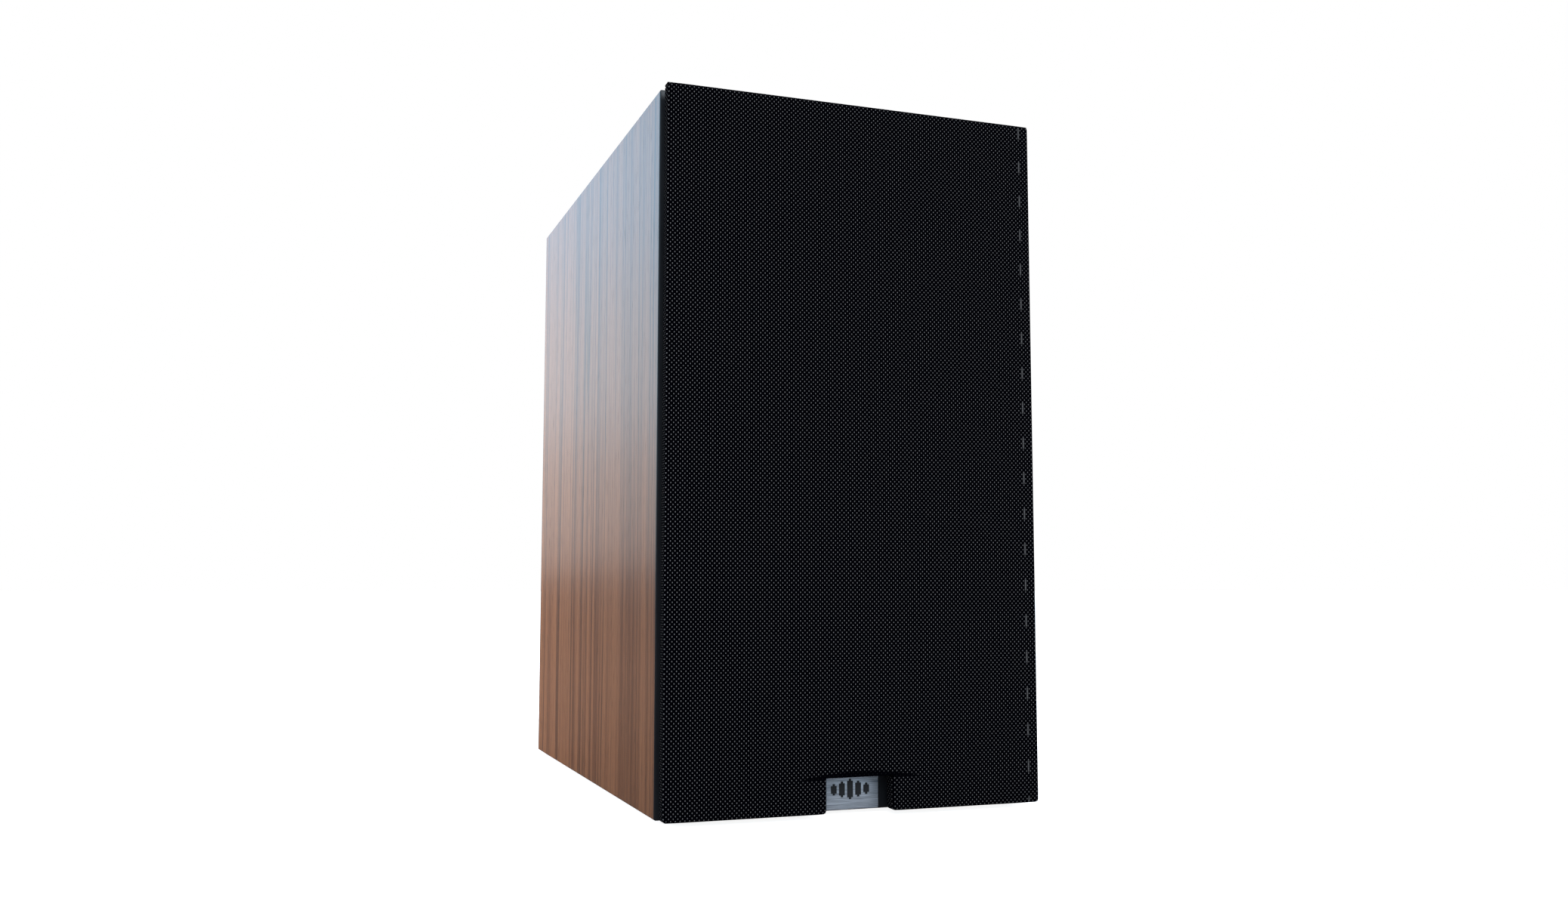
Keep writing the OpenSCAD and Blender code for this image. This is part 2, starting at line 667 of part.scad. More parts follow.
// Hex nuts and solder tags inside the cabinet
tag_l = 14;
module post_rear_nuts() color(brass) for (side = [-1, 1]) post_at(side) difference() {
  floor_back = -cup_depth - cup_wall;
  union() {
    translate([0, 0, floor_back - 4.8]) cylinder(r = 6, h = 4, $fn = 6);
    disc(5, floor_back - 0.8, floor_back);
    translate([-2.5, 0, floor_back - 0.8]) cube([5, tag_l, 0.8]);
  }
  disc(post_r + fit, floor_back - 2 * cup_wall - over, 0);
}

// ---- port ----

// Flared tube: a quarter arc at each end of the bore
collar_h = 2.5;
function flare(z, way) = [for (a = [0:15:90])
  [port_r + flare_r - flare_r * cos(a), z - way * (flare_r - flare_r * sin(a))]];
module port_tube() color(plastic) on_back(port_z) {
  inner_end = collar_h - port_l;
  bore = concat(backwards(flare(collar_h, 1)), flare(inner_end, -1));
  difference() {
    rotate_extrude() polygon([
      [0, collar_h], [spigot_r + 4, collar_h], [spigot_r + 4, 0], [spigot_r, 0],
      [spigot_r, -flare_r], [port_r + port_wall, -flare_r - 4],
      [port_r + port_wall, inner_end + flare_r], [port_r + port_wall + 6, inner_end + 3],
      [spigot_r + 1.5, inner_end], [0, inner_end]]);
    rotate_extrude() polygon(concat([[0, collar_h + over], [spigot_r, collar_h + over]], bore,
      [[spigot_r, inner_end - over], [0, inner_end - over]]));
  }
}

// ---- crossover ----

board_holes = [for (x = [-1, 1], y = [-1, 1]) [x * (board_w / 2 - 6), board_y + y * (board_l / 2 - 6)]];

module crossover_board() color([0.12, 0.30, 0.18]) difference() {
  translate([-board_w / 2, board_y - board_l / 2, board_z]) cube([board_w, board_l, board_t]);
  for (p = board_holes) translate([p[0], p[1], board_z - over]) cylinder(r = 1.7, h = board_t + 2 * over);
}

// Pan-head screws through spacers into the bottom panel
module crossover_screws() color(steel) for (p = board_holes) translate([p[0], p[1], 0]) {
  ring(1.7, 4, inner_low, board_z);
  disc(1.6, inner_low, board_top);
  disc(3, board_top, board_top + 2.2);
}

// Places on the board, from its centre
module on_board(x, y) translate([x, board_y + y, board_top]) children();
module lying_cylinder(r, l) translate([-l / 2, 0, r]) rotate([0, 90, 0]) cylinder(r = r, h = l);

module crossover_coils() color(copper) {
  on_board(-36, 16) ring(8, 19, 0, 20);
  on_board(38, 20) ring(6, 15, 0, 16);
  on_board(44, -24) ring(5, 11, 0, 12);
}
module crossover_capacitors() color([0.55, 0.10, 0.08]) {
  on_board(2, -30) lying_cylinder(9, 36);
  on_board(2, -8) lying_cylinder(7, 30);
  on_board(-40, -26) lying_cylinder(7, 28);
}
module crossover_resistors() color([0.85, 0.84, 0.80]) {
  on_board(2, 12) translate([-12, -4, 0]) cube([24, 8, 8]);
  on_board(2, 28) translate([-12, -4, 0]) cube([24, 8, 8]);
}

// ---- wiring ----

// One lead of each pair, on one side: cup to board, board to woofer, board to tweeter
module wiring(side) {
  wire_r = 1.1;
  tag_y = back_y - cup_depth - cup_wall - 0.8 - wire_r - 0.05;
  window_x = inner_x - brace_rim - 12;
  rear = board_y + board_l / 2;
  front = board_y - board_l / 2;
  woofer_tag = [side * 7, baffle_y - tag_z + 9, woofer_z - tag_drop - 0.4];
  tweeter_tag = [side * 6, baffle_y - tweeter_tag_z, tweeter_z - rear_cup_r - 6.3];
  tube_along([
    [side * post_spacing / 2, tag_y - 0.1, cup_z - tag_l + 4], [side * 10, tag_y - 3, cup_z - tag_l - 12],
    [side * 14, rear + 16, board_top + 18], [side * 18, rear - 1, board_top + 6],
    [side * 18, rear - 6, board_top + 0.3]], wire_r, 6);
  tube_along([
    [side * 24, front + 5, board_top + 0.3], [side * 22, front - 2, board_top + 8],
    [side * 16, front - 20, board_top + 12], [side * 9, woofer_tag[1] + 12, woofer_tag[2] - 14],
    woofer_tag + [0, 0, -1]], wire_r, 6);
  tube_along([
    [side * 56, board_y - 4, board_top + 0.3], [side * 57, board_y - 8, board_top + 14],
    [side * window_x, board_y - 26, woofer_z], [side * window_x, board_y - 50, crossbar_z],
    [side * (window_x - 12), board_y - 80, crossbar_z + 14], [side * 16, tweeter_tag[1] + 16, tweeter_tag[2] - 16],
    tweeter_tag], wire_r, 7);
}
module wiring_red() color("firebrick") wiring(-1);
module wiring_black() color(plastic) wiring(1);

// ---- grille ----

// The notched outline, shrunk by an amount on every side
function grille_outline(e) = [
  [-grille_x + e, grille_low + e], [-notch_w / 2 - e, grille_low + e],
  [-notch_w / 2 - e, grille_low + notch_h + e], [notch_w / 2 + e, grille_low + notch_h + e],
  [notch_w / 2 + e, grille_low + e], [grille_x - e, grille_low + e],
  [grille_x - e, grille_high - e], [-grille_x + e, grille_high - e]];
module slab(e, low, high) translate([0, 0, low]) linear_extrude(high - low) polygon(grille_outline(e));
module band(e, w, low, high) difference() {
  slab(e, low, high);
  slab(e + w, low - over, high + over);
}

frame_front = grille_depth - cloth_t;
seat_gap = 0.2; // thickness left for the flocked faces that meet the baffle

// Windows above and below the crossbar
bar_edge = bar_w + cloth_t;
window_low = grille_low + notch_h + bar_edge;
window_high = grille_high - bar_edge;
crossbar_w = 10;
module grille_windows() for (span = [[window_low, crossbar_z - crossbar_w / 2], [crossbar_z + crossbar_w / 2, window_high]])
  translate([0, (span[0] + span[1]) / 2, 0])
    rounded_plate(2 * (grille_x - bar_edge), span[1] - span[0], 8, 0, grille_depth + over);

module grille_frame() color(plastic) on_baffle(0) difference() {
  slab(cloth_t, grille_standoff, frame_front);
  grille_windows();
}

// Rib that meets the baffle, with a boss round each magnet
module grille_rib() color(plastic) on_baffle(0) difference() {
  union() {
    band(rib_inset, rib_w, seat_gap, grille_standoff);
    magnet_places() disc(magnet_boss_r, seat_gap, grille_standoff);
  }
  magnet_places() disc(magnet_d / 2 + fit, 0, seat_gap + 0.2 + magnet_h);
}

module magnet_places() for (x = [-magnet_x, magnet_x], z = magnet_rows) translate([x, z, 0]) children();

module grille_magnets() color(steel) on_baffle(0)
  magnet_places() disc(magnet_d / 2, seat_gap + 0.1, seat_gap + 0.1 + magnet_h);

// Front sheet of the cloth, and its skirts with the turned-in hem
module grille_cloth() color([0.07, 0.07, 0.08]) on_baffle(0) slab(0, frame_front, grille_depth);
module grille_hem() color([0.07, 0.07, 0.08]) on_baffle(0) {
  band(0, cloth_t, grille_standoff, frame_front);
  band(0, cloth_return, grille_standoff - cloth_t, grille_standoff);
}

side_panels();
top_panel();
bottom_panel();
back_panel();
front_baffle();
veneer_wrap();
shelf_brace();
damping_pads();
rubber_feet();
badge_plate();
baffle_magnets();
woofer_gasket();
woofer_basket();
woofer_trim_ring();
woofer_screws();
woofer_top_plate();
woofer_magnet();
woofer_back_plate();
driver_terminals();
woofer_surround();
woofer_spider();
woofer_leads();
woofer_cone();
woofer_dust_cap();
woofer_coil_former();
woofer_coil_winding();
tweeter_gasket();
tweeter_waveguide();
tweeter_mesh();
tweeter_screws();
tweeter_top_plate();
tweeter_magnet();
tweeter_back_plate();
tweeter_rear_cup();
tweeter_surround();
tweeter_dome();
tweeter_coil();
terminal_cup();
terminal_screws();
binding_posts();
post_collar_red();
post_collar_black();
post_washer_red();
post_washer_black();
post_nut_red();
post_nut_black();
post_rear_nuts();
crossover_board();
crossover_coils();
crossover_capacitors();
crossover_resistors();
crossover_screws();
port_tube();
wiring_red();
wiring_black();
grille_frame();
grille_rib();
grille_cloth();
grille_hem();
grille_magnets();
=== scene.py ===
# Two-way bookshelf loudspeaker with its cloth grille on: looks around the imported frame.
import json
import math

import bmesh
import bpy
from mathutils import Matrix, Vector, noise
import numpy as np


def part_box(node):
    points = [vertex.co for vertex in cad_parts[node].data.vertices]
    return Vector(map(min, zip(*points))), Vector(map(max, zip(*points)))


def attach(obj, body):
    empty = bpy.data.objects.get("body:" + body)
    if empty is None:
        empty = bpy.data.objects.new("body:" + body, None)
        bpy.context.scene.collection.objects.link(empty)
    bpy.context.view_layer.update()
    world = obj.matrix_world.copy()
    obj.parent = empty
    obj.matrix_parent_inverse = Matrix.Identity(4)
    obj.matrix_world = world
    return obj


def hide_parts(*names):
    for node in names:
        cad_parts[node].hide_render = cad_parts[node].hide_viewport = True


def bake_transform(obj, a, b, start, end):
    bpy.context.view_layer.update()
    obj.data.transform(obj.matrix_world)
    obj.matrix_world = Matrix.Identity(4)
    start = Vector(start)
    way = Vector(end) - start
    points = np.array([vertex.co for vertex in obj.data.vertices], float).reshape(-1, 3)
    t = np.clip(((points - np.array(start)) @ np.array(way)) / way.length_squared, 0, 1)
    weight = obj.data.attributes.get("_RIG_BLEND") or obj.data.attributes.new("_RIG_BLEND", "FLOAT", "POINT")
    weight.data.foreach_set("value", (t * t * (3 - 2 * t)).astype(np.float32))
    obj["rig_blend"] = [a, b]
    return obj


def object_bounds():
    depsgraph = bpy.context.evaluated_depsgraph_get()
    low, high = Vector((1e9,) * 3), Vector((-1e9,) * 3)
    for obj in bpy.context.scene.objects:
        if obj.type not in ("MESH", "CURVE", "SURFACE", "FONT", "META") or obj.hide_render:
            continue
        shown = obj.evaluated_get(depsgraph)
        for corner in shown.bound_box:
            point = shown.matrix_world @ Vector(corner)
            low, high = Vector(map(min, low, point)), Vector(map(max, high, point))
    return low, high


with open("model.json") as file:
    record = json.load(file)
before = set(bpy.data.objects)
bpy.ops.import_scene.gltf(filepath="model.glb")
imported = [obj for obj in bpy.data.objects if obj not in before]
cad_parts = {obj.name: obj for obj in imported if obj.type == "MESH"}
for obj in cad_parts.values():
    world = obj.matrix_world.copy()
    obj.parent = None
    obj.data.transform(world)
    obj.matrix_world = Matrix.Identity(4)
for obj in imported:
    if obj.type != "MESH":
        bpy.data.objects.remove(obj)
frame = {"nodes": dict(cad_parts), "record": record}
nodes = frame["nodes"]
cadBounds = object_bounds()
scene = bpy.context.scene


def middle(node):
    low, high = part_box(node)
    return (low + high) / 2


grilleLow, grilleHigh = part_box("grille_cloth")
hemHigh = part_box("grille_hem")[1]
baffleLow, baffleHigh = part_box("front_baffle")
shellLow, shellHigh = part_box("veneer_wrap")
wooferZ = middle("woofer_basket").z
tweeterZ = middle("tweeter_waveguide").z
portZ = middle("port_tube").z
baffleY = baffleLow.y
backY = shellHigh.y


# Helpers that build meshes

def addObject(name, mesh, material=None):
    piece = bpy.data.objects.new(name, mesh)
    scene.collection.objects.link(piece)
    if material:
        mesh.materials.clear()
        mesh.materials.append(material)
    return piece


def finishMesh(name, bm, material, smoothAngle=35, recalculate=True):
    # Merge, turn the faces outwards and keep only real edges sharp
    bmesh.ops.remove_doubles(bm, verts=bm.verts, dist=1e-6)
    if recalculate:
        bmesh.ops.recalc_face_normals(bm, faces=bm.faces)
    mesh = bpy.data.meshes.new(name)
    bm.to_mesh(mesh)
    bm.free()
    mesh.shade_smooth()
    mesh.set_sharp_from_angle(angle=math.radians(smoothAngle))
    return addObject(name, mesh, material)


def plainMesh(piece):
    # What the modifiers make becomes the piece's own mesh
    bpy.context.view_layer.update()
    evaluated = piece.evaluated_get(bpy.context.evaluated_depsgraph_get())
    mesh = bpy.data.meshes.new_from_object(evaluated)
    piece.modifiers.clear()
    piece.data = mesh
    return piece


def place(piece, body, slot, *replaced):
    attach(piece, body)
    if replaced:
        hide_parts(*replaced)
    return piece


def lathe(name, centre, profile, material, outward=-1, steps=96, closed=True, smoothAngle=35):
    # profile is (radius, height) round the Y axis; heights grow outwards from the centre
    bm = bmesh.new()
    rings = []
    for radius, height in profile:
        ring = []
        for step in range(steps):
            angle = 2 * math.pi * step / steps
            ring.append(bm.verts.new(centre + Vector((
                radius * math.cos(angle), outward * height, radius * math.sin(angle)))))
        rings.append(ring)
    pairs = list(zip(rings, rings[1:]))
    if closed:
        pairs.append((rings[-1], rings[0]))
    for one, two in pairs:
        for step in range(steps):
            after = (step + 1) % steps
            bm.faces.new((one[step], one[after], two[after], two[step]))
    bmesh.ops.remove_doubles(bm, verts=bm.verts, dist=1e-7)
    bmesh.ops.dissolve_degenerate(bm, edges=bm.edges, dist=1e-7)
    return finishMesh(name, bm, material, smoothAngle)


def arc(centre, radius, start, end, count):
    # Points of a circular arc, with angles in degrees
    points = []
    for step in range(count + 1):
        angle = math.radians(start + (end - start) * step / count)
        points.append((centre[0] + radius * math.cos(angle), centre[1] + radius * math.sin(angle)))
    return points


def roundedRectangle(halfWidth, halfHeight, radius, steps=4):
    corners = ((1, 1, 0), (-1, 1, 90), (-1, -1, 180), (1, -1, 270))
    points = []
    for signX, signZ, start in corners:
        centre = (signX * (halfWidth - radius), signZ * (halfHeight - radius))
        points += arc(centre, radius, start, start + 90, steps)
    return points


def softened(node, width, body="cabinet", segments=2, angle=32, subdivide=0):
    # A copy of a CAD node with its edges eased, in its own finish
    bm = bmesh.new()
    bm.from_mesh(nodes[node].data)
    bmesh.ops.remove_doubles(bm, verts=bm.verts, dist=1e-6)
    bmesh.ops.dissolve_limit(bm, angle_limit=math.radians(0.5), verts=bm.verts, edges=bm.edges)
    mesh = bpy.data.meshes.new(node + "_eased")
    bm.to_mesh(mesh)
    bm.free()
    mesh.shade_smooth()
    mesh.set_sharp_from_angle(angle=math.radians(angle))
    piece = addObject(node + "_eased", mesh, finishes[slotOf[node]])
    if width:
        bevel = piece.modifiers.new("Bevel", "BEVEL")
        bevel.width = width
        bevel.segments = segments
        bevel.limit_method = "ANGLE"
        bevel.angle_limit = math.radians(angle)
        bevel.miter_outer = "MITER_ARC"
    if subdivide:
        smooth = piece.modifiers.new("Smooth", "SUBSURF")
        smooth.levels = subdivide
        smooth.render_levels = subdivide
    # Large flat faces keep their own normals next to an eased edge
    level = piece.modifiers.new("Level", "WEIGHTED_NORMAL")
    level.keep_sharp = True
    plainMesh(piece)
    return place(piece, body, slotOf[node], node)


# Helpers that build node trees

def addNode(tree, kind, inputs=None, **settings):
    node = tree.nodes.new(kind)
    for key, value in settings.items():
        setattr(node, key, value)
    for key, value in (inputs or {}).items():
        socket = node.inputs[key]
        if isinstance(value, bpy.types.NodeSocket):
            tree.links.new(value, socket)
        else:
            socket.default_value = value
    return node


def calc(tree, operation, *values, clamp=False):
    node = addNode(tree, "ShaderNodeMath", dict(enumerate(values)), operation=operation)
    node.use_clamp = clamp
    return node.outputs[0]


def times(tree, one, two):
    return calc(tree, "MULTIPLY", one, two)


def plus(tree, one, two, clamp=False):
    return calc(tree, "ADD", one, two, clamp=clamp)


def minus(tree, one, two):
    return calc(tree, "SUBTRACT", one, two)


def ramp(tree, factor, stops, interpolation="LINEAR"):
    node = addNode(tree, "ShaderNodeValToRGB", {"Fac": factor})
    node.color_ramp.interpolation = interpolation
    elements = node.color_ramp.elements
    while len(elements) < len(stops):
        elements.new(0.5)
    for element, (position, colour) in zip(elements, stops):
        element.position = position
        element.color = (*colour, 1) if hasattr(colour, "__len__") else (colour, colour, colour, 1)
    return node.outputs["Color"]


def mixColour(tree, factor, one, two, blend="MIX"):
    node = addNode(tree, "ShaderNodeMix", data_type="RGBA", blend_type=blend)
    for index, value in ((0, factor), (6, one), (7, two)):
        if isinstance(value, bpy.types.NodeSocket):
            tree.links.new(value, node.inputs[index])
        else:
            node.inputs[index].default_value = value if index == 0 else (*value, 1)
    return node.outputs[2]


def softStep(tree, value, low, high):
    return addNode(tree, "ShaderNodeMapRange", {
        "Value": value, "From Min": low, "From Max": high}, interpolation_type="SMOOTHSTEP").outputs[0]


def scaled(tree, vector, scale):
    return addNode(tree, "ShaderNodeVectorMath", {0: vector, 1: scale}, operation="MULTIPLY").outputs[0]


def noiseAt(tree, vector, scale, detail=2.0, roughness=0.5, distortion=0.0):
    return addNode(tree, "ShaderNodeTexNoise", {
        "Vector": vector, "Scale": scale, "Detail": detail, "Roughness": roughness,
        "Distortion": distortion}).outputs["Fac"]


def makeGroup(name, inputs, outputs):
    # A shared effect: named inputs with their defaults, and named outputs
    tree = bpy.data.node_groups.new(name, "ShaderNodeTree")
    for label, kind, default in inputs:
        socket = tree.interface.new_socket(label, in_out="INPUT", socket_type=kind)
        if default is not None:
            socket.default_value = default
    for label, kind in outputs:
        tree.interface.new_socket(label, in_out="OUTPUT", socket_type=kind)
    return tree, tree.nodes.new("NodeGroupInput"), tree.nodes.new("NodeGroupOutput")


def useGroup(tree, group, inputs):
    node = tree.nodes.new("ShaderNodeGroup")
    node.node_tree = group
    for key, value in inputs.items():
        if isinstance(value, bpy.types.NodeSocket):
            tree.links.new(value, node.inputs[key])
        else:
            node.inputs[key].default_value = value
    return node


def startMaterial(name, constants):
    material = bpy.data.materials.new(name)
    material.use_nodes = True
    tree = material.node_tree
    shader = tree.nodes["Principled BSDF"]
    for key, value in constants.items():
        shader.inputs[key].default_value = value
    return material, tree, shader


def objectPlace(tree):
    return addNode(tree, "ShaderNodeTexCoord").outputs["Object"]


def ownMap(tree, name):
    return addNode(tree, "ShaderNodeUVMap", uv_map=name).outputs["UV"]


def bumpInto(tree, shader, height, strength, distance):
    bump = addNode(tree, "ShaderNodeBump", {"Height": height, "Strength": strength, "Distance": distance})
    tree.links.new(bump.outputs["Normal"], shader.inputs["Normal"])


floatSocket, vectorSocket = "NodeSocketFloat", "NodeSocketVector"


def makeWeaveGroup():
    # Plain weave: warp and weft threads over and under each other, one cell per crossing
    tree, given, result = makeGroup("plainWeave", [
        ("Vector", vectorSocket, None), ("Cell", floatSocket, 0.001), ("Narrowing", floatSocket, 1.0),
        ("Low", floatSocket, 0.3), ("High", floatSocket, 0.8),
    ], [("Crossing", floatSocket), ("Height", floatSocket)])
    parts = addNode(tree, "ShaderNodeSeparateXYZ", {0: given.outputs["Vector"]})
    waves = []
    for axis in ("X", "Y"):
        cells = calc(tree, "DIVIDE", parts.outputs[axis], given.outputs["Cell"])
        waves.append(calc(tree, "COSINE", times(tree, cells, math.pi)))
    across, along = waves
    product = times(tree, across, along)
    narrow = calc(tree, "POWER", calc(tree, "ABSOLUTE", across), given.outputs["Narrowing"])
    crossing = times(tree, product, narrow)
    tree.links.new(softStep(tree, crossing, given.outputs["Low"], given.outputs["High"]),
                   result.inputs["Crossing"])
    tree.links.new(calc(tree, "ABSOLUTE", crossing), result.inputs["Height"])
    return tree


def makeGrainGroup():
    # Quarter-cut walnut: X runs across the grain and Y along it, in metres
    tree, given, result = makeGroup("walnutGrain", [
        ("Vector", vectorSocket, None), ("Figure Place", floatSocket, 0.0), ("Seed", floatSocket, 0.0),
    ], [("Tone", floatSocket), ("Stripes", floatSocket), ("Pores", floatSocket), ("Figure", floatSocket)])
    seed = addNode(tree, "ShaderNodeCombineXYZ", {"Z": given.outputs["Seed"]}).outputs[0]
    own = addNode(tree, "ShaderNodeVectorMath", {0: given.outputs["Vector"], 1: seed}).outputs[0]
    wander = minus(tree, noiseAt(tree, scaled(tree, own, (9, 2.6, 1)), 1.0, 2), 0.5)
    shift = addNode(tree, "ShaderNodeCombineXYZ", {
        "X": times(tree, wander, 0.012)}).outputs[0]
    bent = addNode(tree, "ShaderNodeVectorMath", {0: own, 1: shift}).outputs[0]
    broad = noiseAt(tree, scaled(tree, bent, (42, 0.5, 1)), 1.0, 1.5)
    streak = noiseAt(tree, scaled(tree, bent, (230, 1.3, 1)), 1.0, 3, 0.6)
    hair = noiseAt(tree, scaled(tree, bent, (1100, 6, 1)), 1.0, 2, 0.6)
    tone = plus(tree, times(tree, broad, 0.30), times(tree, streak, 0.48))
    tone = plus(tree, tone, times(tree, hair, 0.22))
    tree.links.new(tone, result.inputs["Tone"])
    # Narrow dark latewood lines, a few millimetres apart and of uneven strength
    lines = noiseAt(tree, scaled(tree, bent, (330, 0.7, 1)), 1.0, 1.0)
    strength = noiseAt(tree, scaled(tree, own, (60, 5, 1)), 1.0, 1.0)
    lines = times(tree, softStep(tree, lines, 0.56, 0.70), softStep(tree, strength, 0.25, 0.6))
    tree.links.new(lines, result.inputs["Stripes"])
    pores = noiseAt(tree, scaled(tree, bent, (2600, 75, 1)), 1.0, 1.5)
    tree.links.new(softStep(tree, pores, 0.60, 0.72), result.inputs["Pores"])
    # Nested arches where the cut runs through the middle of a board
    parts = addNode(tree, "ShaderNodeSeparateXYZ", {0: bent})
    aside = minus(tree, parts.outputs["X"], given.outputs["Figure Place"])
    square = times(tree, aside, aside)
    phase = plus(tree, times(tree, square, 46000.0), times(tree, parts.outputs["Y"], 26.0))
    arches = calc(tree, "SINE", phase)
    near = times(tree, softStep(tree, calc(tree, "ABSOLUTE", aside), 0.018, 0.004),
                 softStep(tree, noiseAt(tree, scaled(tree, own, (14, 5, 1)), 1.0, 1.0), 0.35, 0.6))
    tree.links.new(times(tree, softStep(tree, arches, 0.0, 1.0), near), result.inputs["Figure"])
    return tree


def makeBrushGroup():
    # Short parallel scratches along X
    tree, given, result = makeGroup("brushedLines", [
        ("Vector", vectorSocket, None), ("Fineness", floatSocket, 1.0),
    ], [("Lines", floatSocket), ("Height", floatSocket)])
    fine = scaled(tree, given.outputs["Vector"], (90, 9000, 9000))
    coarse = scaled(tree, given.outputs["Vector"], (40, 2500, 2500))
    lines = plus(tree, times(tree, noiseAt(tree, fine, given.outputs["Fineness"], 2), 0.6),
                 times(tree, noiseAt(tree, coarse, given.outputs["Fineness"], 1), 0.4))
    tree.links.new(lines, result.inputs["Lines"])
    tree.links.new(lines, result.inputs["Height"])
    return tree


def makeGrainyGroup():
    # Spark-eroded texture of moulded and painted surfaces, with slow patches from handling
    tree, given, result = makeGroup("fineTexture", [
        ("Vector", vectorSocket, None), ("Grain", floatSocket, 900.0), ("Patch", floatSocket, 18.0),
    ], [("Grain", floatSocket), ("Patches", floatSocket)])
    grain = noiseAt(tree, given.outputs["Vector"], given.outputs["Grain"], 3, 0.65)
    patches = noiseAt(tree, given.outputs["Vector"], given.outputs["Patch"], 3, 0.55)
    tree.links.new(grain, result.inputs["Grain"])
    tree.links.new(patches, result.inputs["Patches"])
    return tree


weaveGroup = makeWeaveGroup()
grainGroup = makeGrainGroup()
brushGroup = makeBrushGroup()
grainyGroup = makeGrainyGroup()


# Finishes

def texturedMaterial(name, colour, rough, constants=None, grain=900.0, patch=18.0, vary=0.25, bump=0.15,
                     depth=0.0001):
    # Moulded, painted or cast surface: colour and gloss vary slowly, and a fine texture stands up
    material, tree, shader = startMaterial(name, constants or {})
    effect = useGroup(tree, grainyGroup, {"Vector": objectPlace(tree), "Grain": grain, "Patch": patch})
    dark = tuple(c * (1 - vary) for c in colour)
    light = tuple(min(1, c * (1 + vary)) for c in colour)
    tone = mixColour(tree, effect.outputs["Patches"], dark, light)
    tree.links.new(tone, shader.inputs["Base Color"])
    gloss = addNode(tree, "ShaderNodeMapRange", {
        "Value": effect.outputs["Patches"], "From Min": 0.3, "From Max": 0.7,
        "To Min": max(0.02, rough - 0.06), "To Max": min(1, rough + 0.06)})
    tree.links.new(gloss.outputs[0], shader.inputs["Roughness"])
    bumpInto(tree, shader, effect.outputs["Grain"], bump, depth)
    return material


walnut = {
    "light": (0.460, 0.182, 0.078), "middle": (0.278, 0.102, 0.044), "dark": (0.095, 0.035, 0.018),
    "streak": (0.036, 0.015, 0.010), "roughness": 0.40, "coat": 0.8, "coatRoughness": 0.22,
    # The front and rear factors below are painted shade at the front and painted light at the rear of the wrap
    "figurePlace": 0.010, "frontPaintedShade": 0.72, "rearPaintedLight": 1.22, "seed": 3.7,
    "stripeShare": 0.75, "figureShare": 0.6, "poreShare": 0.55, "poreRoughness": 0.2, "bump": 0.25,
    "bumpDepth": 0.00006,
}


def makeWalnut():
    material, tree, shader = startMaterial("walnutVeneer", {
        "Coat Weight": walnut["coat"], "Coat Roughness": walnut["coatRoughness"], "IOR": 1.5})
    place = ownMap(tree, "wrap")
    grain = useGroup(tree, grainGroup, {
        "Vector": place, "Figure Place": walnut["figurePlace"], "Seed": walnut["seed"]})
    colour = ramp(tree, grain.outputs["Tone"], [
        (0.36, walnut["dark"]), (0.455, walnut["middle"]), (0.55, walnut["light"]), (0.64, walnut["middle"])])
    colour = mixColour(tree, times(tree, grain.outputs["Stripes"], walnut["stripeShare"]), colour,
                       walnut["dark"])
    colour = mixColour(tree, times(tree, grain.outputs["Figure"], walnut["figureShare"]), colour,
                       walnut["streak"])
    colour = mixColour(tree, times(tree, grain.outputs["Pores"], walnut["poreShare"]), colour, walnut["streak"])
    # Painted light: the sheet's colour is darkened at the front and lightened towards the rear, as the light
    # falls along the cabinet
    across = addNode(tree, "ShaderNodeSeparateXYZ", {0: place}).outputs["X"]
    tone = addNode(tree, "ShaderNodeMapRange", {
        "Value": across, "From Min": shellLow.y, "From Max": shellHigh.y,
        "To Min": walnut["frontPaintedShade"], "To Max": walnut["rearPaintedLight"]}).outputs[0]
    colour = mixColour(tree, 1.0, colour, tone, "MULTIPLY")
    tree.links.new(colour, shader.inputs["Base Color"])
    rough = plus(tree, walnut["roughness"], times(tree, grain.outputs["Pores"], walnut["poreRoughness"]))
    tree.links.new(rough, shader.inputs["Roughness"])
    bumpInto(tree, shader, minus(tree, 1.0, grain.outputs["Pores"]), walnut["bump"], walnut["bumpDepth"])
    return material


cloth = {
    "cell": 0.001165, "narrowing": 1.2, "crossLow": 0.42, "crossHigh": 0.80,
    "bump": 0.6, "bumpDepth": 0.0003, "foldShade": 0.95,
    "yarnLight": (0.106, 0.100, 0.099), "yarnDark": (0.0005, 0.0005, 0.0012),
    "dashPitch": 0.01865, "dashInset": 0.0061, "dashRise": 0.0025,
    "dashHalfWidth": 0.0006, "dashHalfHeight": 0.0036, "dashLight": 0.52,
    "foldHalf": 0.0315, "foldLow": 0.0171, "foldHigh": 0.0202,
}


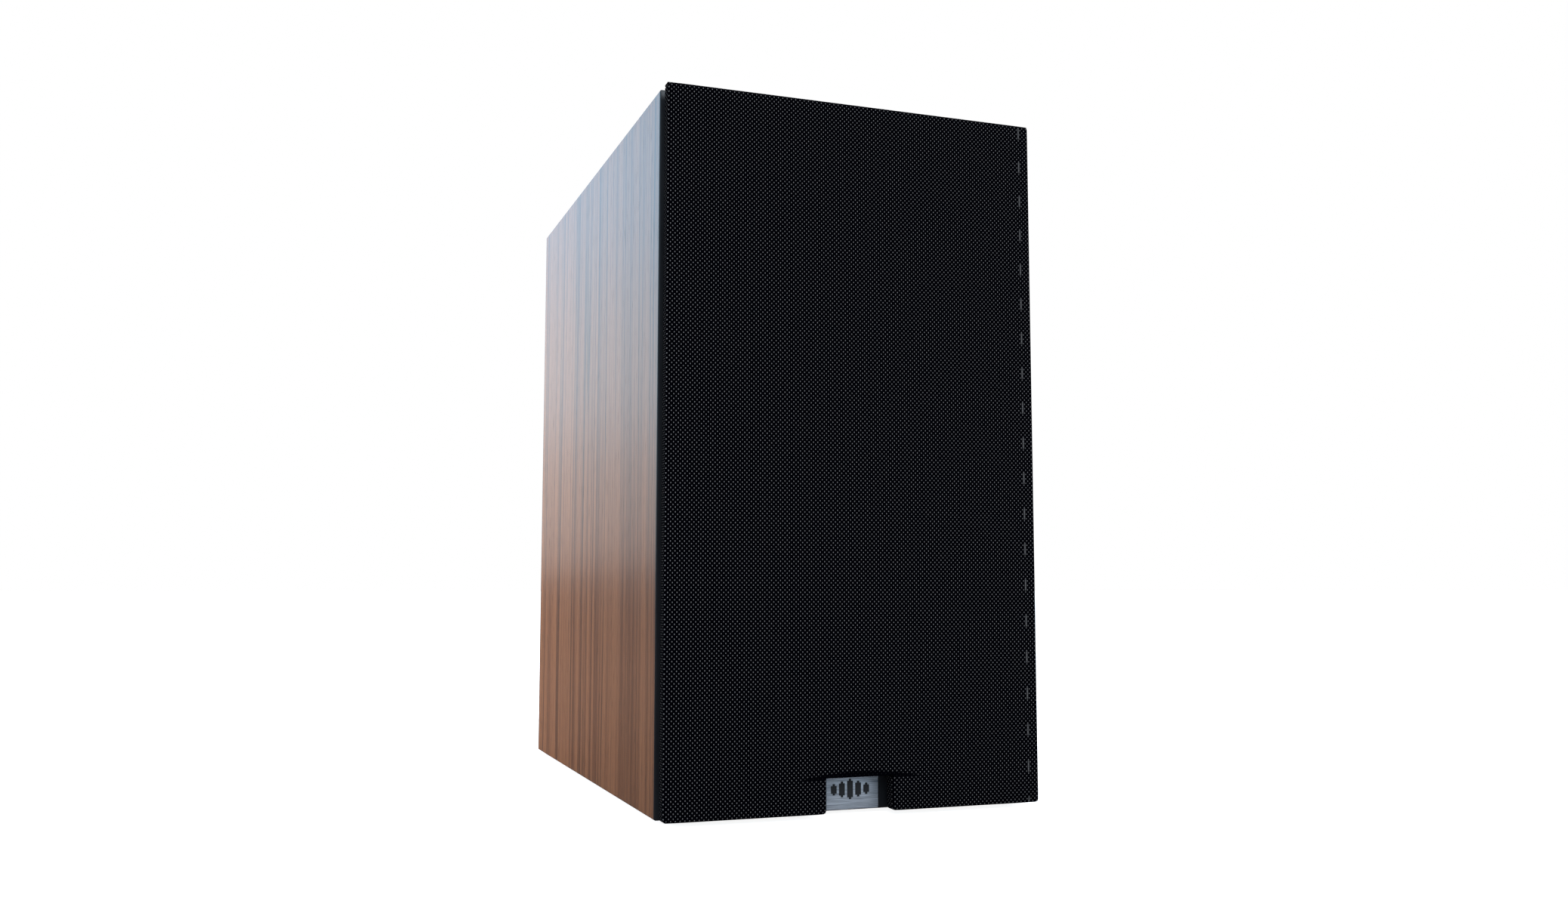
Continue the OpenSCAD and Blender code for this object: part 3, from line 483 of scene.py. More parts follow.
def makeCloth():
    material, tree, shader = startMaterial("grilleCloth", {"Specular IOR Level": 0.0})
    place = ownMap(tree, "cloth")
    weave = useGroup(tree, weaveGroup, {
        "Vector": place, "Cell": cloth["cell"], "Narrowing": cloth["narrowing"],
        "Low": cloth["crossLow"], "High": cloth["crossHigh"]})
    slub = noiseAt(tree, scaled(tree, place, (160, 900, 1)), 1.0, 2)
    lit = times(tree, weave.outputs["Crossing"], plus(tree, 0.65, times(tree, slub, 0.7)))
    # A row of faint light dashes runs down near one edge
    parts = addNode(tree, "ShaderNodeSeparateXYZ", {0: place})
    aside = calc(tree, "ABSOLUTE", minus(tree, parts.outputs["X"], grilleHigh.x - cloth["dashInset"]))
    turn = calc(tree, "PINGPONG", minus(tree, parts.outputs["Y"], cloth["dashRise"]), cloth["dashPitch"] / 2)
    dash = times(tree, softStep(tree, aside, cloth["dashHalfWidth"], cloth["dashHalfWidth"] * 0.4),
                 softStep(tree, turn, cloth["dashHalfHeight"], cloth["dashHalfHeight"] * 0.6))
    lit = plus(tree, lit, times(tree, dash, cloth["dashLight"]), clamp=True)
    # Painted shade: the cloth's colour is darkened in the lens-shaped fold over the notch, standing in for the
    # fold's own shadow
    share = calc(tree, "DIVIDE", parts.outputs["X"], cloth["foldHalf"])
    arch = minus(tree, 1.0, times(tree, share, share))
    rise = calc(tree, "DIVIDE", minus(tree, parts.outputs["Y"], grilleLow.z + cloth["foldLow"]),
                cloth["foldHigh"] - cloth["foldLow"])
    foldShadeMask = times(tree, softStep(tree, minus(tree, arch, rise), -0.15, 0.15),
                 softStep(tree, rise, -0.35, -0.15))
    lit = times(tree, lit, minus(tree, 1.0, times(tree, foldShadeMask, cloth["foldShade"])))
    tree.links.new(mixColour(tree, lit, cloth["yarnDark"], cloth["yarnLight"]), shader.inputs["Base Color"])
    tree.links.new(minus(tree, 0.95, times(tree, lit, 0.25)), shader.inputs["Roughness"])
    bumpInto(tree, shader, weave.outputs["Height"], cloth["bump"], cloth["bumpDepth"])
    return material


brushed = {
    "dark": (0.20, 0.22, 0.265), "light": (0.62, 0.65, 0.71), "lineLow": 0.36, "lineHigh": 0.64,
    "metallic": 0.45, "roughness": 0.22, "lineRoughness": 0.25, "bump": 0.3, "bumpDepth": 0.00004,
}


def makeBrushedBadge():
    material, tree, shader = startMaterial("brushedBadge", {"Metallic": brushed["metallic"]})
    effect = useGroup(tree, brushGroup, {"Vector": objectPlace(tree), "Fineness": 1.0})
    scratch = softStep(tree, effect.outputs["Lines"], brushed["lineLow"], brushed["lineHigh"])
    tree.links.new(mixColour(tree, scratch, brushed["dark"], brushed["light"]), shader.inputs["Base Color"])
    rough = plus(tree, brushed["roughness"], times(tree, effect.outputs["Lines"], brushed["lineRoughness"]))
    tree.links.new(rough, shader.inputs["Roughness"])
    bumpInto(tree, shader, effect.outputs["Height"], brushed["bump"], brushed["bumpDepth"])
    return material


def metal(name, colour, rough, **options):
    return texturedMaterial(name, colour, rough, {"Metallic": 1.0}, bump=0.06, vary=0.12, **options)


finishes = {
    "walnut_veneer": makeWalnut(),
    "grille_cloth": makeCloth(),
    "badge_aluminium": makeBrushedBadge(),
    "fibreboard": texturedMaterial("fibreboard", (0.36, 0.24, 0.14), 0.85, grain=1400.0, vary=0.18, bump=0.4),
    "black_lacquer": texturedMaterial("blackLacquer", (0.012, 0.0125, 0.015), 0.36, grain=1500.0, vary=0.2,
                                      bump=0.12),
    "wadding": texturedMaterial("wadding", (0.46, 0.455, 0.43), 0.95, {"Sheen Weight": 0.3}, grain=420.0,
                                bump=0.9, depth=0.0012),
    "foot_rubber": texturedMaterial("footRubber", (0.018, 0.018, 0.018), 0.75, grain=700.0, bump=0.3),
    "magnet_steel": metal("magnetSteel", (0.62, 0.62, 0.64), 0.22),
    "gasket_foam": texturedMaterial("gasketFoam", (0.02, 0.02, 0.02), 0.95, grain=2200.0, bump=0.8,
                                    depth=0.0002),
    "basket_paint": texturedMaterial("basketPaint", (0.018, 0.018, 0.019), 0.45, grain=1100.0, bump=0.3),
    "trim_plastic": texturedMaterial("trimPlastic", (0.016, 0.016, 0.017), 0.5, grain=1600.0, bump=0.2),
    "black_screw": metal("blackScrew", (0.06, 0.06, 0.065), 0.35),
    "plated_steel": metal("platedSteel", (0.55, 0.56, 0.58), 0.3),
    "ferrite": texturedMaterial("ferrite", (0.045, 0.045, 0.05), 0.6, grain=500.0, bump=0.4, depth=0.0002),
    "terminal_brass": metal("terminalBrass", (0.80, 0.56, 0.22), 0.2),
    "surround_rubber": texturedMaterial("surroundRubber", (0.014, 0.014, 0.015), 0.48, grain=400.0, bump=0.15),
    "spider_cloth": texturedMaterial("spiderCloth", (0.46, 0.28, 0.07), 0.85, grain=1300.0, bump=0.7,
                                     depth=0.0002),
    "tinsel_copper": metal("tinselCopper", (0.72, 0.34, 0.16), 0.35, grain=2500.0),
    "cone_paper": texturedMaterial("conePaper", (0.022, 0.022, 0.025), 0.62, grain=260.0, vary=0.3, bump=0.5,
                                   depth=0.0002),
    "former": metal("coilFormer", (0.60, 0.44, 0.22), 0.4),
    "copper_wire": metal("copperWire", (0.62, 0.24, 0.09), 0.28),
    "dome_silk": texturedMaterial("domeSilk", (0.02, 0.02, 0.023), 0.55, grain=3500.0, bump=0.5),
    "mesh_steel": metal("meshSteel", (0.20, 0.20, 0.205), 0.38),
    "cup_plastic": texturedMaterial("cupPlastic", (0.014, 0.014, 0.015), 0.38, grain=1700.0, bump=0.15),
    "red_plastic": texturedMaterial("redPlastic", (0.42, 0.012, 0.010), 0.25, {"Coat Weight": 0.4}, bump=0.05),
    "black_plastic": texturedMaterial("blackPlastic", (0.012, 0.012, 0.012), 0.25, {"Coat Weight": 0.4},
                                      bump=0.05),
    "board_resin": texturedMaterial("boardResin", (0.015, 0.09, 0.035), 0.4, grain=300.0, vary=0.35, bump=0.1),
    "capacitor_film": texturedMaterial("capacitorFilm", (0.32, 0.03, 0.02), 0.3, {"Coat Weight": 0.3},
                                       bump=0.08),
    "resistor_cement": texturedMaterial("resistorCement", (0.66, 0.65, 0.60), 0.85, grain=900.0, bump=0.6,
                                        depth=0.0002),
    "wire_red": texturedMaterial("wireRed", (0.38, 0.012, 0.010), 0.42, bump=0.08),
    "wire_black": texturedMaterial("wireBlack", (0.012, 0.012, 0.012), 0.42, bump=0.08),
    "grille_plastic": texturedMaterial("grillePlastic", (0.014, 0.014, 0.015), 0.6, grain=1200.0, bump=0.3),
}
slotOf = {part["node"]: part["material_slot"] for part in frame["record"]["subparts"]}
for name, node in nodes.items():
    node.data.materials.clear()
    node.data.materials.append(finishes[slotOf[name]])
print("materials", len(finishes))


# Camera, light and floor

view = {
    "aside": -0.2735, "before": 0.6419, "above": 0.1100, "turn": 19.98, "rise": 5.44, "lens": 31.85,
    "sensor": 36.0,
}
camera = bpy.data.objects.new("camera", bpy.data.cameras.new("camera"))
camera.data.lens = view["lens"]
camera.data.sensor_width = view["sensor"]
camera.data.clip_start = 0.01
camera.location = (view["aside"], grilleLow.y - view["before"], grilleLow.z + view["above"])
camera.rotation_euler = (math.radians(90 + view["rise"]), 0, math.radians(-view["turn"]))
scene.collection.objects.link(camera)
scene.camera = camera
scene.view_settings.view_transform = "Standard"

studio = {
    "sky": [(0.46, (0.12, 0.11, 0.11)), (0.53, (0.49, 0.55, 0.59)), (0.58, (0.69, 0.93, 1.10)),
            (0.66, (0.62, 1.03, 1.38)), (0.80, (0.36, 0.46, 0.58))],
    "skyStrength": 1.0, "floorColour": (0.9, 0.9, 0.9), "floorSize": 60.0, "floorGlow": 0.90,
    "floorMirrored": (0.085, 0.06, 0.05), "floorDrop": 0.0002,
    "lights": (  # name, place, aim, side, power, colour, whether it shows in reflections
        ("key", (-0.7, -2.2, 1.7), (0, 0, 0.18), 1.6, 26, (1.0, 0.98, 0.95), False),
        ("side", (-0.6, 0.75, 0.5), (-0.1, 0.1, 0.15), 0.5, 3.0, (1.0, 0.98, 0.95), False),
        ("front", (0.9, -2.2, 1.2), (0, 0, 0.18), 1.2, 14, (1, 1, 1), True),
        ("top", (0.0, 0.2, 2.4), (0, 0, 0.2), 2.4, 40, (1, 1, 1), True),
    ),
}


def makeWorld():
    # The backdrop is white to the eye; what surfaces mirror is cool and bright above, dim below
    world = bpy.data.worlds.new("studio")
    world.use_nodes = True
    tree = world.node_tree
    background = tree.nodes["Background"]
    direction = addNode(tree, "ShaderNodeTexCoord").outputs["Generated"]
    height = addNode(tree, "ShaderNodeSeparateXYZ", {0: direction}).outputs["Z"]
    share = times(tree, plus(tree, height, 1.0), 0.5)
    sky = ramp(tree, share, studio["sky"], "EASE")
    seen = addNode(tree, "ShaderNodeLightPath").outputs["Is Camera Ray"]
    tree.links.new(mixColour(tree, seen, sky, (1.0, 1.0, 1.0)), background.inputs["Color"])
    background.inputs["Strength"].default_value = studio["skyStrength"]
    scene.world = world


def makeFloor():
    size = studio["floorSize"]
    bm = bmesh.new()
    bmesh.ops.create_grid(bm, x_segments=1, y_segments=1, size=size)
    mesh = bpy.data.meshes.new("floor")
    bm.to_mesh(mesh)
    bm.free()
    material, tree, shader = startMaterial("floor", {"Roughness": 1.0, "Specular IOR Level": 0.0})
    path = addNode(tree, "ShaderNodeLightPath")
    tree.links.new(mixColour(tree, path.outputs["Is Glossy Ray"], studio["floorColour"],
                             studio["floorMirrored"]),
                   shader.inputs["Base Color"])
    shader.inputs["Emission Color"].default_value = (1, 1, 1, 1)
    tree.links.new(times(tree, path.outputs["Is Camera Ray"], studio["floorGlow"]),
                   shader.inputs["Emission Strength"])
    floor = addObject("floor", mesh, material)
    floor.location.z = cadBounds[0][2] - studio["floorDrop"]


def areaLight(name, place, aim, side, power, colour, mirrored):
    lamp = bpy.data.lights.new(name, "AREA")
    lamp.shape = "RECTANGLE"
    lamp.size = lamp.size_y = side
    lamp.energy = power
    lamp.color = colour
    light = bpy.data.objects.new(name, lamp)
    light.location = place
    light.visible_camera = False
    light.visible_glossy = mirrored
    light.rotation_euler = (Vector(aim) - Vector(place)).to_track_quat("-Z", "Y").to_euler()
    scene.collection.objects.link(light)


makeWorld()
makeFloor()
for light in studio["lights"]:
    areaLight(*light)
print("camera and light")


# Cabinet

shell = {"corner": 0.0010, "ease": 0.0003, "wall": shellHigh.x - baffleHigh.x, "paint": 0.0012}


def makeVeneer():
    # The wrap goes round the carcass; its own map runs round it one way and back along it the other
    halfWidth = (shellHigh.x - shellLow.x) / 2
    halfHeight = (shellHigh.z - shellLow.z) / 2
    centreZ = (shellHigh.z + shellLow.z) / 2
    ease, wall = shell["ease"], shell["wall"]
    stations = [(wall, shellLow.y), (ease, shellLow.y), (0, shellLow.y + ease),
                (0, shellLow.y + shell["paint"] * 0.9),
                (0, shellHigh.y - ease), (ease, shellHigh.y), (wall, shellHigh.y)]
    bm = bmesh.new()
    wrap = bm.loops.layers.uv.new("wrap")
    outline = roundedRectangle(halfWidth, halfHeight, shell["corner"])
    lengths = [0.0]
    for one, two in zip(outline, outline[1:] + outline[:1]):
        lengths.append(lengths[-1] + math.dist(one, two))
    rings = []
    for inset, y in stations:
        points = roundedRectangle(halfWidth - inset, halfHeight - inset, max(shell["corner"] - inset, 0.0002))
        rings.append([bm.verts.new((x, y, centreZ + z)) for x, z in points])
    count = len(outline)
    for index in range(len(rings)):
        one, two = rings[index], rings[(index + 1) % len(rings)]
        for step in range(count):
            after = (step + 1) % count
            face = bm.faces.new((one[step], one[after], two[after], two[step]))
            for loop, along in zip(face.loops, (step, step + 1, step + 1, step)):
                loop[wrap].uv = (loop.vert.co.y, lengths[along])
    piece = finishMesh("veneer", bm, finishes["walnut_veneer"], 40)
    piece.data.materials.append(finishes["black_lacquer"])
    for face in piece.data.polygons:
        # The front lip is painted with the baffle
        if max(piece.data.vertices[index].co.y for index in face.vertices) < shellLow.y + shell["paint"]:
            face.material_index = 1
    return place(piece, "cabinet", "walnut_veneer", "veneer_wrap")


makeVeneer()
eased = {
    "front_baffle": 0.0004, "back_panel": 0.0004, "shelf_brace": 0.0006, "rubber_feet": 0.0005,
    "side_panels": 0.0002, "top_panel": 0.0002, "bottom_panel": 0.0002,
}
for name, width in eased.items():
    softened(name, width)
print("cabinet")


# Badge plate with its generic mark

badge = {"corner": 0.0007, "ease": 0.00025, "bars": 5, "barWidth": 0.0031, "barGap": 0.0013, "barHigh": 0.0100,
         "barLow": 0.0056, "stand": 0.00012, "rise": 0.0012}


def makeBadge():
    low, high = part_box("badge_plate")
    centre = (low + high) / 2
    halfWidth, halfHeight = (high.x - low.x) / 2, (high.z - low.z) / 2
    ease = badge["ease"]
    bm = bmesh.new()
    rings = []
    for inset, y in ((0, high.y), (0, low.y + ease), (ease * 0.3, low.y + ease * 0.3), (ease, low.y)):
        points = roundedRectangle(halfWidth - inset, halfHeight - inset, badge["corner"])
        rings.append([bm.verts.new((centre.x + x, y, centre.z + z)) for x, z in points])
    for one, two in zip(rings, rings[1:]):
        for step in range(len(one)):
            after = (step + 1) % len(one)
            bm.faces.new((one[step], one[after], two[after], two[step]))
    bm.faces.new(rings[0])
    bm.faces.new(rings[-1])
    plate = finishMesh("badge", bm, finishes["badge_aluminium"], 50)
    place(plate, "cabinet", "badge_aluminium", "badge_plate")
    bm = bmesh.new()
    middleBar = (badge["bars"] - 1) / 2
    for index in range(badge["bars"]):
        aside = index - middleBar
        height = badge["barHigh"] - (badge["barHigh"] - badge["barLow"]) * abs(aside) / middleBar
        x = centre.x + aside * (badge["barWidth"] + badge["barGap"])
        made = bmesh.ops.create_cube(bm, size=1)
        bmesh.ops.transform(bm, verts=made["verts"], matrix=Matrix.Translation(
            (x, low.y - badge["stand"] * 0.4, centre.z + badge["rise"])) @ Matrix.Diagonal(
            (badge["barWidth"], badge["stand"] * 1.6, height, 1)))
    edges = [e for e in bm.edges if abs(e.verts[0].co.y - e.verts[1].co.y) > 1e-6]
    bmesh.ops.bevel(bm, geom=edges, offset=badge["barWidth"] * 0.3, segments=4, affect="EDGES")
    bars = finishMesh("badgeBars", bm, finishes["black_lacquer"], 40)
    place(bars, "cabinet", "black_lacquer")


makeBadge()
print("badge")


# Grille

grille = {
    "edge": 0.0016, "corner": 0.0022, "thick": 0.0006, "hem": 0.0040, "hemRise": 0.0006,
    "notchHalf": 0.0176, "notchHigh": 0.0172, "creaseHalf": 0.0315, "creaseLow": 0.0172, "creaseHigh": 0.0198,
    "creaseDeep": 0.0005, "frameEase": 0.0004,
}


def spacedLines(low, high, stations, coarse):
    # Grid lines between two ends: the given ones, and coarse steps between them
    wanted = sorted({round(s, 7) for s in stations if low - 1e-9 <= s <= high + 1e-9} | {low, high})
    lines = [wanted[0]]
    for one, two in zip(wanted, wanted[1:]):
        parts = max(1, math.ceil((two - one) / coarse))
        lines += [one + (two - one) * part / parts for part in range(1, parts + 1)]
    return lines


def makeGrilleCloth():
    halfWidth = grilleHigh.x
    low, high = grilleLow.z, grilleHigh.z
    notchTop = low + grille["notchHigh"]
    notchHalf = grille["notchHalf"]
    edge = grille["edge"]
    fine = [edge * f for f in (0, 0.08, 0.22, 0.42, 0.68, 1.0)]
    across = [-halfWidth + f for f in fine] + [halfWidth - f for f in fine]
    for sign in (-1, 1):
        across += [sign * (notchHalf + f) for f in fine]
    creases = [k * grille["creaseHalf"] / 10 for k in range(-10, 11)]
    xs = spacedLines(-halfWidth, halfWidth, across + creases, 0.006)
    crease = [low + grille["creaseLow"] + (grille["creaseHigh"] - grille["creaseLow"]) * k / 6
              for k in range(-1, 9)]
    zs = spacedLines(low, high, [low + f for f in fine] + [high - f for f in fine]
                     + [notchTop + f for f in fine] + crease, 0.006)

    def inside(x, z):
        return not (abs(x) < notchHalf - 1e-6 and z < notchTop - 1e-6)

    def edgeDistance(x, z):
        # How far inside the outline a point is
        distance = min(halfWidth - abs(x), high - z, z - low)
        if z <= notchTop + edge:
            if z <= notchTop:
                distance = min(distance, abs(x) - notchHalf)
            elif abs(x) <= notchHalf:
                distance = min(distance, z - notchTop)
            else:
                distance = min(distance, math.hypot(abs(x) - notchHalf, z - notchTop))
        return max(distance, 0.0)

    def roundedCorner(x, z):
        # Points near an outer corner move onto nested arcs
        radius = grille["corner"]
        corners = [(sx * (halfWidth - radius), zc, sx, sz)
                   for sx in (-1, 1) for zc, sz in ((high - radius, 1), (low + radius, -1))]
        corners += [(sx * (notchHalf + radius), low + radius, -sx, -1) for sx in (-1, 1)]
        for cx, cz, sx, sz in corners:
            dx, dz = (x - cx) * sx, (z - cz) * sz
            if dx > 0 and dz > 0 and dx <= radius + 1e-9 and dz <= radius + 1e-9:
                length = math.hypot(dx, dz)
                reach = max(dx, dz)
                return cx + sx * dx / length * reach, cz + sz * dz / length * reach
        return x, z

    def depth(x, z):
        distance = edgeDistance(x, z)
        sunk = 0.0
        if distance < edge:
            sunk = edge - math.sqrt(max(edge * edge - (edge - distance) ** 2, 0))
        # The cloth dips where it is drawn over the notch's lintel
        aside = abs(x) / grille["creaseHalf"]
        if aside < 1:
            top = low + grille["creaseLow"] + (grille["creaseHigh"] - grille["creaseLow"]) * (1 - aside ** 2)
            bottom = low + grille["creaseLow"] - 0.0002
            if bottom < z < top + 0.0008:
                share = min(1.0, (top + 0.0008 - z) / 0.0012)
                sunk = max(sunk, grille["creaseDeep"] * share * (1 - aside ** 2) ** 0.5)
        ripple = 0.00008 * noise.noise(Vector((x * 30, z * 22, 0.4)))
        return grilleLow.y + sunk + max(0.0, ripple)

    bm = bmesh.new()
    clothMap = bm.loops.layers.uv.new("cloth")
    flat = {}
    verts = {}
    for i, x in enumerate(xs):
        for j, z in enumerate(zs):
            if inside(x, z):
                px, pz = roundedCorner(x, z)
                vert = bm.verts.new((px, depth(x, z), pz))
                verts[i, j] = vert
                flat[vert] = (x, z)
    for i in range(len(xs) - 1):
        for j in range(len(zs) - 1):
            corners = [(i, j), (i + 1, j), (i + 1, j + 1), (i, j + 1)]
            centre = ((xs[i] + xs[i + 1]) / 2, (zs[j] + zs[j + 1]) / 2)
            if inside(*centre) and all(c in verts for c in corners):
                bm.faces.new([verts[c] for c in corners])
    # Skirts and the turned-in hem, ring by ring from the front sheet's edge
    def drawnIn(point, inset):
        # Where a point of the outline goes when the sheet's edge moves in, at the notch as well
        side = 1 if point.x > 0 else -1
        aside = min(abs(point.x), halfWidth - inset)
        z = min(max(point.z, low + inset), high - inset)
        if point.z < notchTop + 1e-5 and aside < halfWidth / 2:
            if abs(point.x) >= notchHalf - 1e-6:
                aside = max(aside, notchHalf + inset)
            if point.z > notchTop - 1e-5:
                z = notchTop + inset
        return Vector((side * aside, 0, z))

    rear = hemHigh.y
    ring = outlineLoop(bm)
    inward = inwardDirections(ring)
    unfold = 0.0
    stations = [(0.0, grilleLow.y + edge + 0.002), (0.0, rear - grille["hemRise"] - 0.0004),
                (0.0002, rear - 0.0003), (0.0007, rear), (grille["hem"], rear)]
    last = [v.co.copy() for v in ring]
    base = [Vector((v.co.x, 0, v.co.z)) for v in ring]
    for inset, y in stations:
        made = []
        for index, vert in enumerate(ring):
            spot = drawnIn(base[index], inset) if inset else base[index]
            made.append(bm.verts.new((spot.x, y, spot.z)))
        steps = sorted((vert.co - before).length for vert, before in zip(made, last))
        step = steps[len(steps) // 2]
        unfold += step
        for index, vert in enumerate(made):
            source = flat[ring[index]] if ring[index] in flat else None
            flat[vert] = (source[0] - inward[index].x * step, source[1] - inward[index].z * step)
        for index in range(len(ring)):
            after = (index + 1) % len(ring)
            bm.faces.new((ring[index], ring[after], made[after], made[index]))
        last = [v.co.copy() for v in made]
        ring = made
    for face in bm.faces:
        for loop in face.loops:
            loop[clothMap].uv = flat[loop.vert]
    bmesh.ops.remove_doubles(bm, verts=bm.verts, dist=1e-6)
    bmesh.ops.dissolve_degenerate(bm, edges=bm.edges, dist=1e-6)
    bmesh.ops.recalc_face_normals(bm, faces=bm.faces)
    piece = finishMesh("grilleCloth", bm, finishes["grille_cloth"], 50, recalculate=False)
    width = 2 * halfWidth + 2 * unfold
    length = (high - low) + 2 * unfold
    return piece, width, length


def outlineLoop(bm):
    # The open edge of a sheet, as verts in order
    following = {}
    for edgeItem in bm.edges:
        if edgeItem.is_boundary:
            for one, two in (edgeItem.verts, reversed(edgeItem.verts)):
                following.setdefault(one, []).append(two)
    start = next(iter(following))
    ring, before, now = [start], None, start
    while True:
        options = [v for v in following[now] if v is not before]
        before, now = now, options[0]
        if now is start:
            return ring
        ring.append(now)


def inwardDirections(ring):
    # Unit steps towards the sheet's inside, in its plane, mitred at corners
    count = len(ring)
    area = sum(ring[i].co.x * ring[(i + 1) % count].co.z - ring[(i + 1) % count].co.x * ring[i].co.z
               for i in range(count))
    sign = 1 if area > 0 else -1
    result = []
    for index in range(count):
        before = ring[index].co - ring[index - 1].co
        after = ring[(index + 1) % count].co - ring[index].co
        normals = [Vector((-d.z, 0, d.x)).normalized() * sign for d in (before, after)]
        mean = (normals[0] + normals[1]).normalized()
        result.append(mean / max(0.5, mean.dot(normals[0])))
    return result


clothPiece, clothWidth, clothLength = makeGrilleCloth()
wall = clothPiece.modifiers.new("Wall", "SOLIDIFY")
wall.thickness = grille["thick"] * 0.9
wall.offset = -1
plainMesh(clothPiece)
place(clothPiece, "grille", "grille_cloth", "grille_cloth", "grille_hem")
for name in ("grille_frame", "grille_rib"):
    softened(name, grille["frameEase"], "grille")
print("grille")


# Geometry Nodes trees

def startGeometry(name, inputs):
    tree = bpy.data.node_groups.new(name, "GeometryNodeTree")
    for label, kind in inputs:
        tree.interface.new_socket(label, in_out="INPUT", socket_type=kind)
    tree.interface.new_socket("Geometry", in_out="OUTPUT", socket_type="NodeSocketGeometry")
    return tree, tree.nodes.new("NodeGroupInput"), tree.nodes.new("NodeGroupOutput")


def endGeometry(tree, given, result, geometry):
    real = addNode(tree, "GeometryNodeRealizeInstances", {"Geometry": geometry})
    dressed = addNode(tree, "GeometryNodeSetMaterial", {
        "Geometry": real.outputs[0], "Material": given.outputs["Material"]})
    tree.links.new(dressed.outputs[0], result.inputs["Geometry"])
    return tree


def runGeometry(piece, tree, values):
    # Every input is set before the first evaluation, and the result becomes a plain mesh
    modifier = piece.modifiers.new(tree.name, "NODES")
    modifier.node_group = tree
    for item in tree.interface.items_tree:
        if item.item_type == "SOCKET" and item.in_out == "INPUT" and item.name in values:
            modifier[item.identifier] = values[item.name]
    return plainMesh(piece)


geometrySocket, intSocket, materialSocket = "NodeSocketGeometry", "NodeSocketInt", "NodeSocketMaterial"


def makeAroundTree():
    # A piece repeated on a circle that faces along Y
    tree, given, result = startGeometry("piecesAround", [
        ("Geometry", geometrySocket), ("Count", intSocket), ("Radius", floatSocket), ("Start", floatSocket),
        ("Centre", vectorSocket), ("Material", materialSocket)])
    circle = addNode(tree, "GeometryNodeMeshCircle", {
        "Vertices": given.outputs["Count"], "Radius": given.outputs["Radius"]})
    turn = addNode(tree, "ShaderNodeCombineXYZ", {"X": math.pi / 2, "Z": 0.0})
    spun = addNode(tree, "ShaderNodeCombineXYZ", {"Z": given.outputs["Start"]})
    ring = addNode(tree, "GeometryNodeTransform", {"Geometry": circle.outputs[0], "Rotation": spun.outputs[0]})
    ring = addNode(tree, "GeometryNodeTransform", {
        "Geometry": ring.outputs[0], "Rotation": turn.outputs[0], "Translation": given.outputs["Centre"]})
    placed = addNode(tree, "GeometryNodeInstanceOnPoints", {
        "Points": ring.outputs[0], "Instance": given.outputs["Geometry"]})
    return endGeometry(tree, given, result, placed.outputs[0])


def makeGuardTree():
    # The cells of a curved lattice become a net of round wire
    tree, given, result = startGeometry("wireGuard", [
        ("Geometry", geometrySocket), ("Wire", floatSocket), ("Material", materialSocket)])
    cells = addNode(tree, "GeometryNodeDualMesh", {"Mesh": given.outputs["Geometry"]})
    lines = addNode(tree, "GeometryNodeMeshToCurve", {"Mesh": cells.outputs[0]})
    section = addNode(tree, "GeometryNodeCurvePrimitiveCircle",
                      {"Resolution": 6, "Radius": given.outputs["Wire"]})
    net = addNode(tree, "GeometryNodeCurveToMesh", {"Curve": lines.outputs[0],
                                                    "Profile Curve": section.outputs[0]})
    return endGeometry(tree, given, result, net.outputs[0])


def makeWindingTree():
    # One layer of wire on a former whose axis runs along Y
    tree, given, result = startGeometry("winding", [
        ("Geometry", geometrySocket), ("Turns", floatSocket), ("Radius", floatSocket), ("Height", floatSocket),
        ("Wire", floatSocket), ("Centre", vectorSocket), ("Material", materialSocket)])
    spiral = addNode(tree, "GeometryNodeCurveSpiral", {
        "Resolution": 40, "Rotations": given.outputs["Turns"], "Start Radius": given.outputs["Radius"],
        "End Radius": given.outputs["Radius"], "Height": given.outputs["Height"]})
    section = addNode(tree, "GeometryNodeCurvePrimitiveCircle",
                      {"Resolution": 6, "Radius": given.outputs["Wire"]})
    coil = addNode(tree, "GeometryNodeCurveToMesh", {
        "Curve": spiral.outputs[0], "Profile Curve": section.outputs[0], "Fill Caps": True})
    moved = addNode(tree, "GeometryNodeTransform", {
        "Geometry": coil.outputs[0], "Rotation": (math.pi / 2, 0, 0), "Translation": given.outputs["Centre"]})
    return endGeometry(tree, given, result, moved.outputs[0])


aroundTree, guardTree, windingTree = makeAroundTree(), makeGuardTree(), makeWindingTree()


def smoothed(piece, angle=35):
    piece.data.shade_smooth()
    piece.data.set_sharp_from_angle(angle=math.radians(angle))
    return piece


def screwSource(name, head, shank, length, material):
    # Cap screw with a hex socket, its head's underside at the origin and its axis along Y
    bm = bmesh.new()
    steps = 24

    def ring(radius, y, hexagon=False):
        points = []
        for step in range(steps):
            angle = 2 * math.pi * step / steps
            reach = radius
            if hexagon:
                reach = radius / math.cos((angle + math.pi / 6) % (math.pi / 3) - math.pi / 6)
            points.append(bm.verts.new((reach * math.cos(angle), y, reach * math.sin(angle))))
        return points

    top = -head[1]
    socket = head[0] * 0.5
    rings = [ring(0.0001, length), ring(shank * 0.7, length), ring(shank, length - shank * 0.5), ring(shank, 0),
             ring(head[0], 0), ring(head[0], top + head[2]),
             ring(head[0] - head[2] * 0.35, top + head[2] * 0.35),
             ring(head[0] - head[2], top), ring(socket + 0.00015, top, True), ring(socket, top + 0.00015, True),
             ring(socket, top + head[1] * 0.62, True), ring(0.0001, top + head[1] * 0.75)]
    for one, two in zip(rings, rings[1:]):
        for step in range(steps):
            after = (step + 1) % steps
            bm.faces.new((one[step], one[after], two[after], two[step]))
    bm.faces.new(rings[0])
    bm.faces.new(rings[-1])
    return finishMesh(name, bm, material, 35)


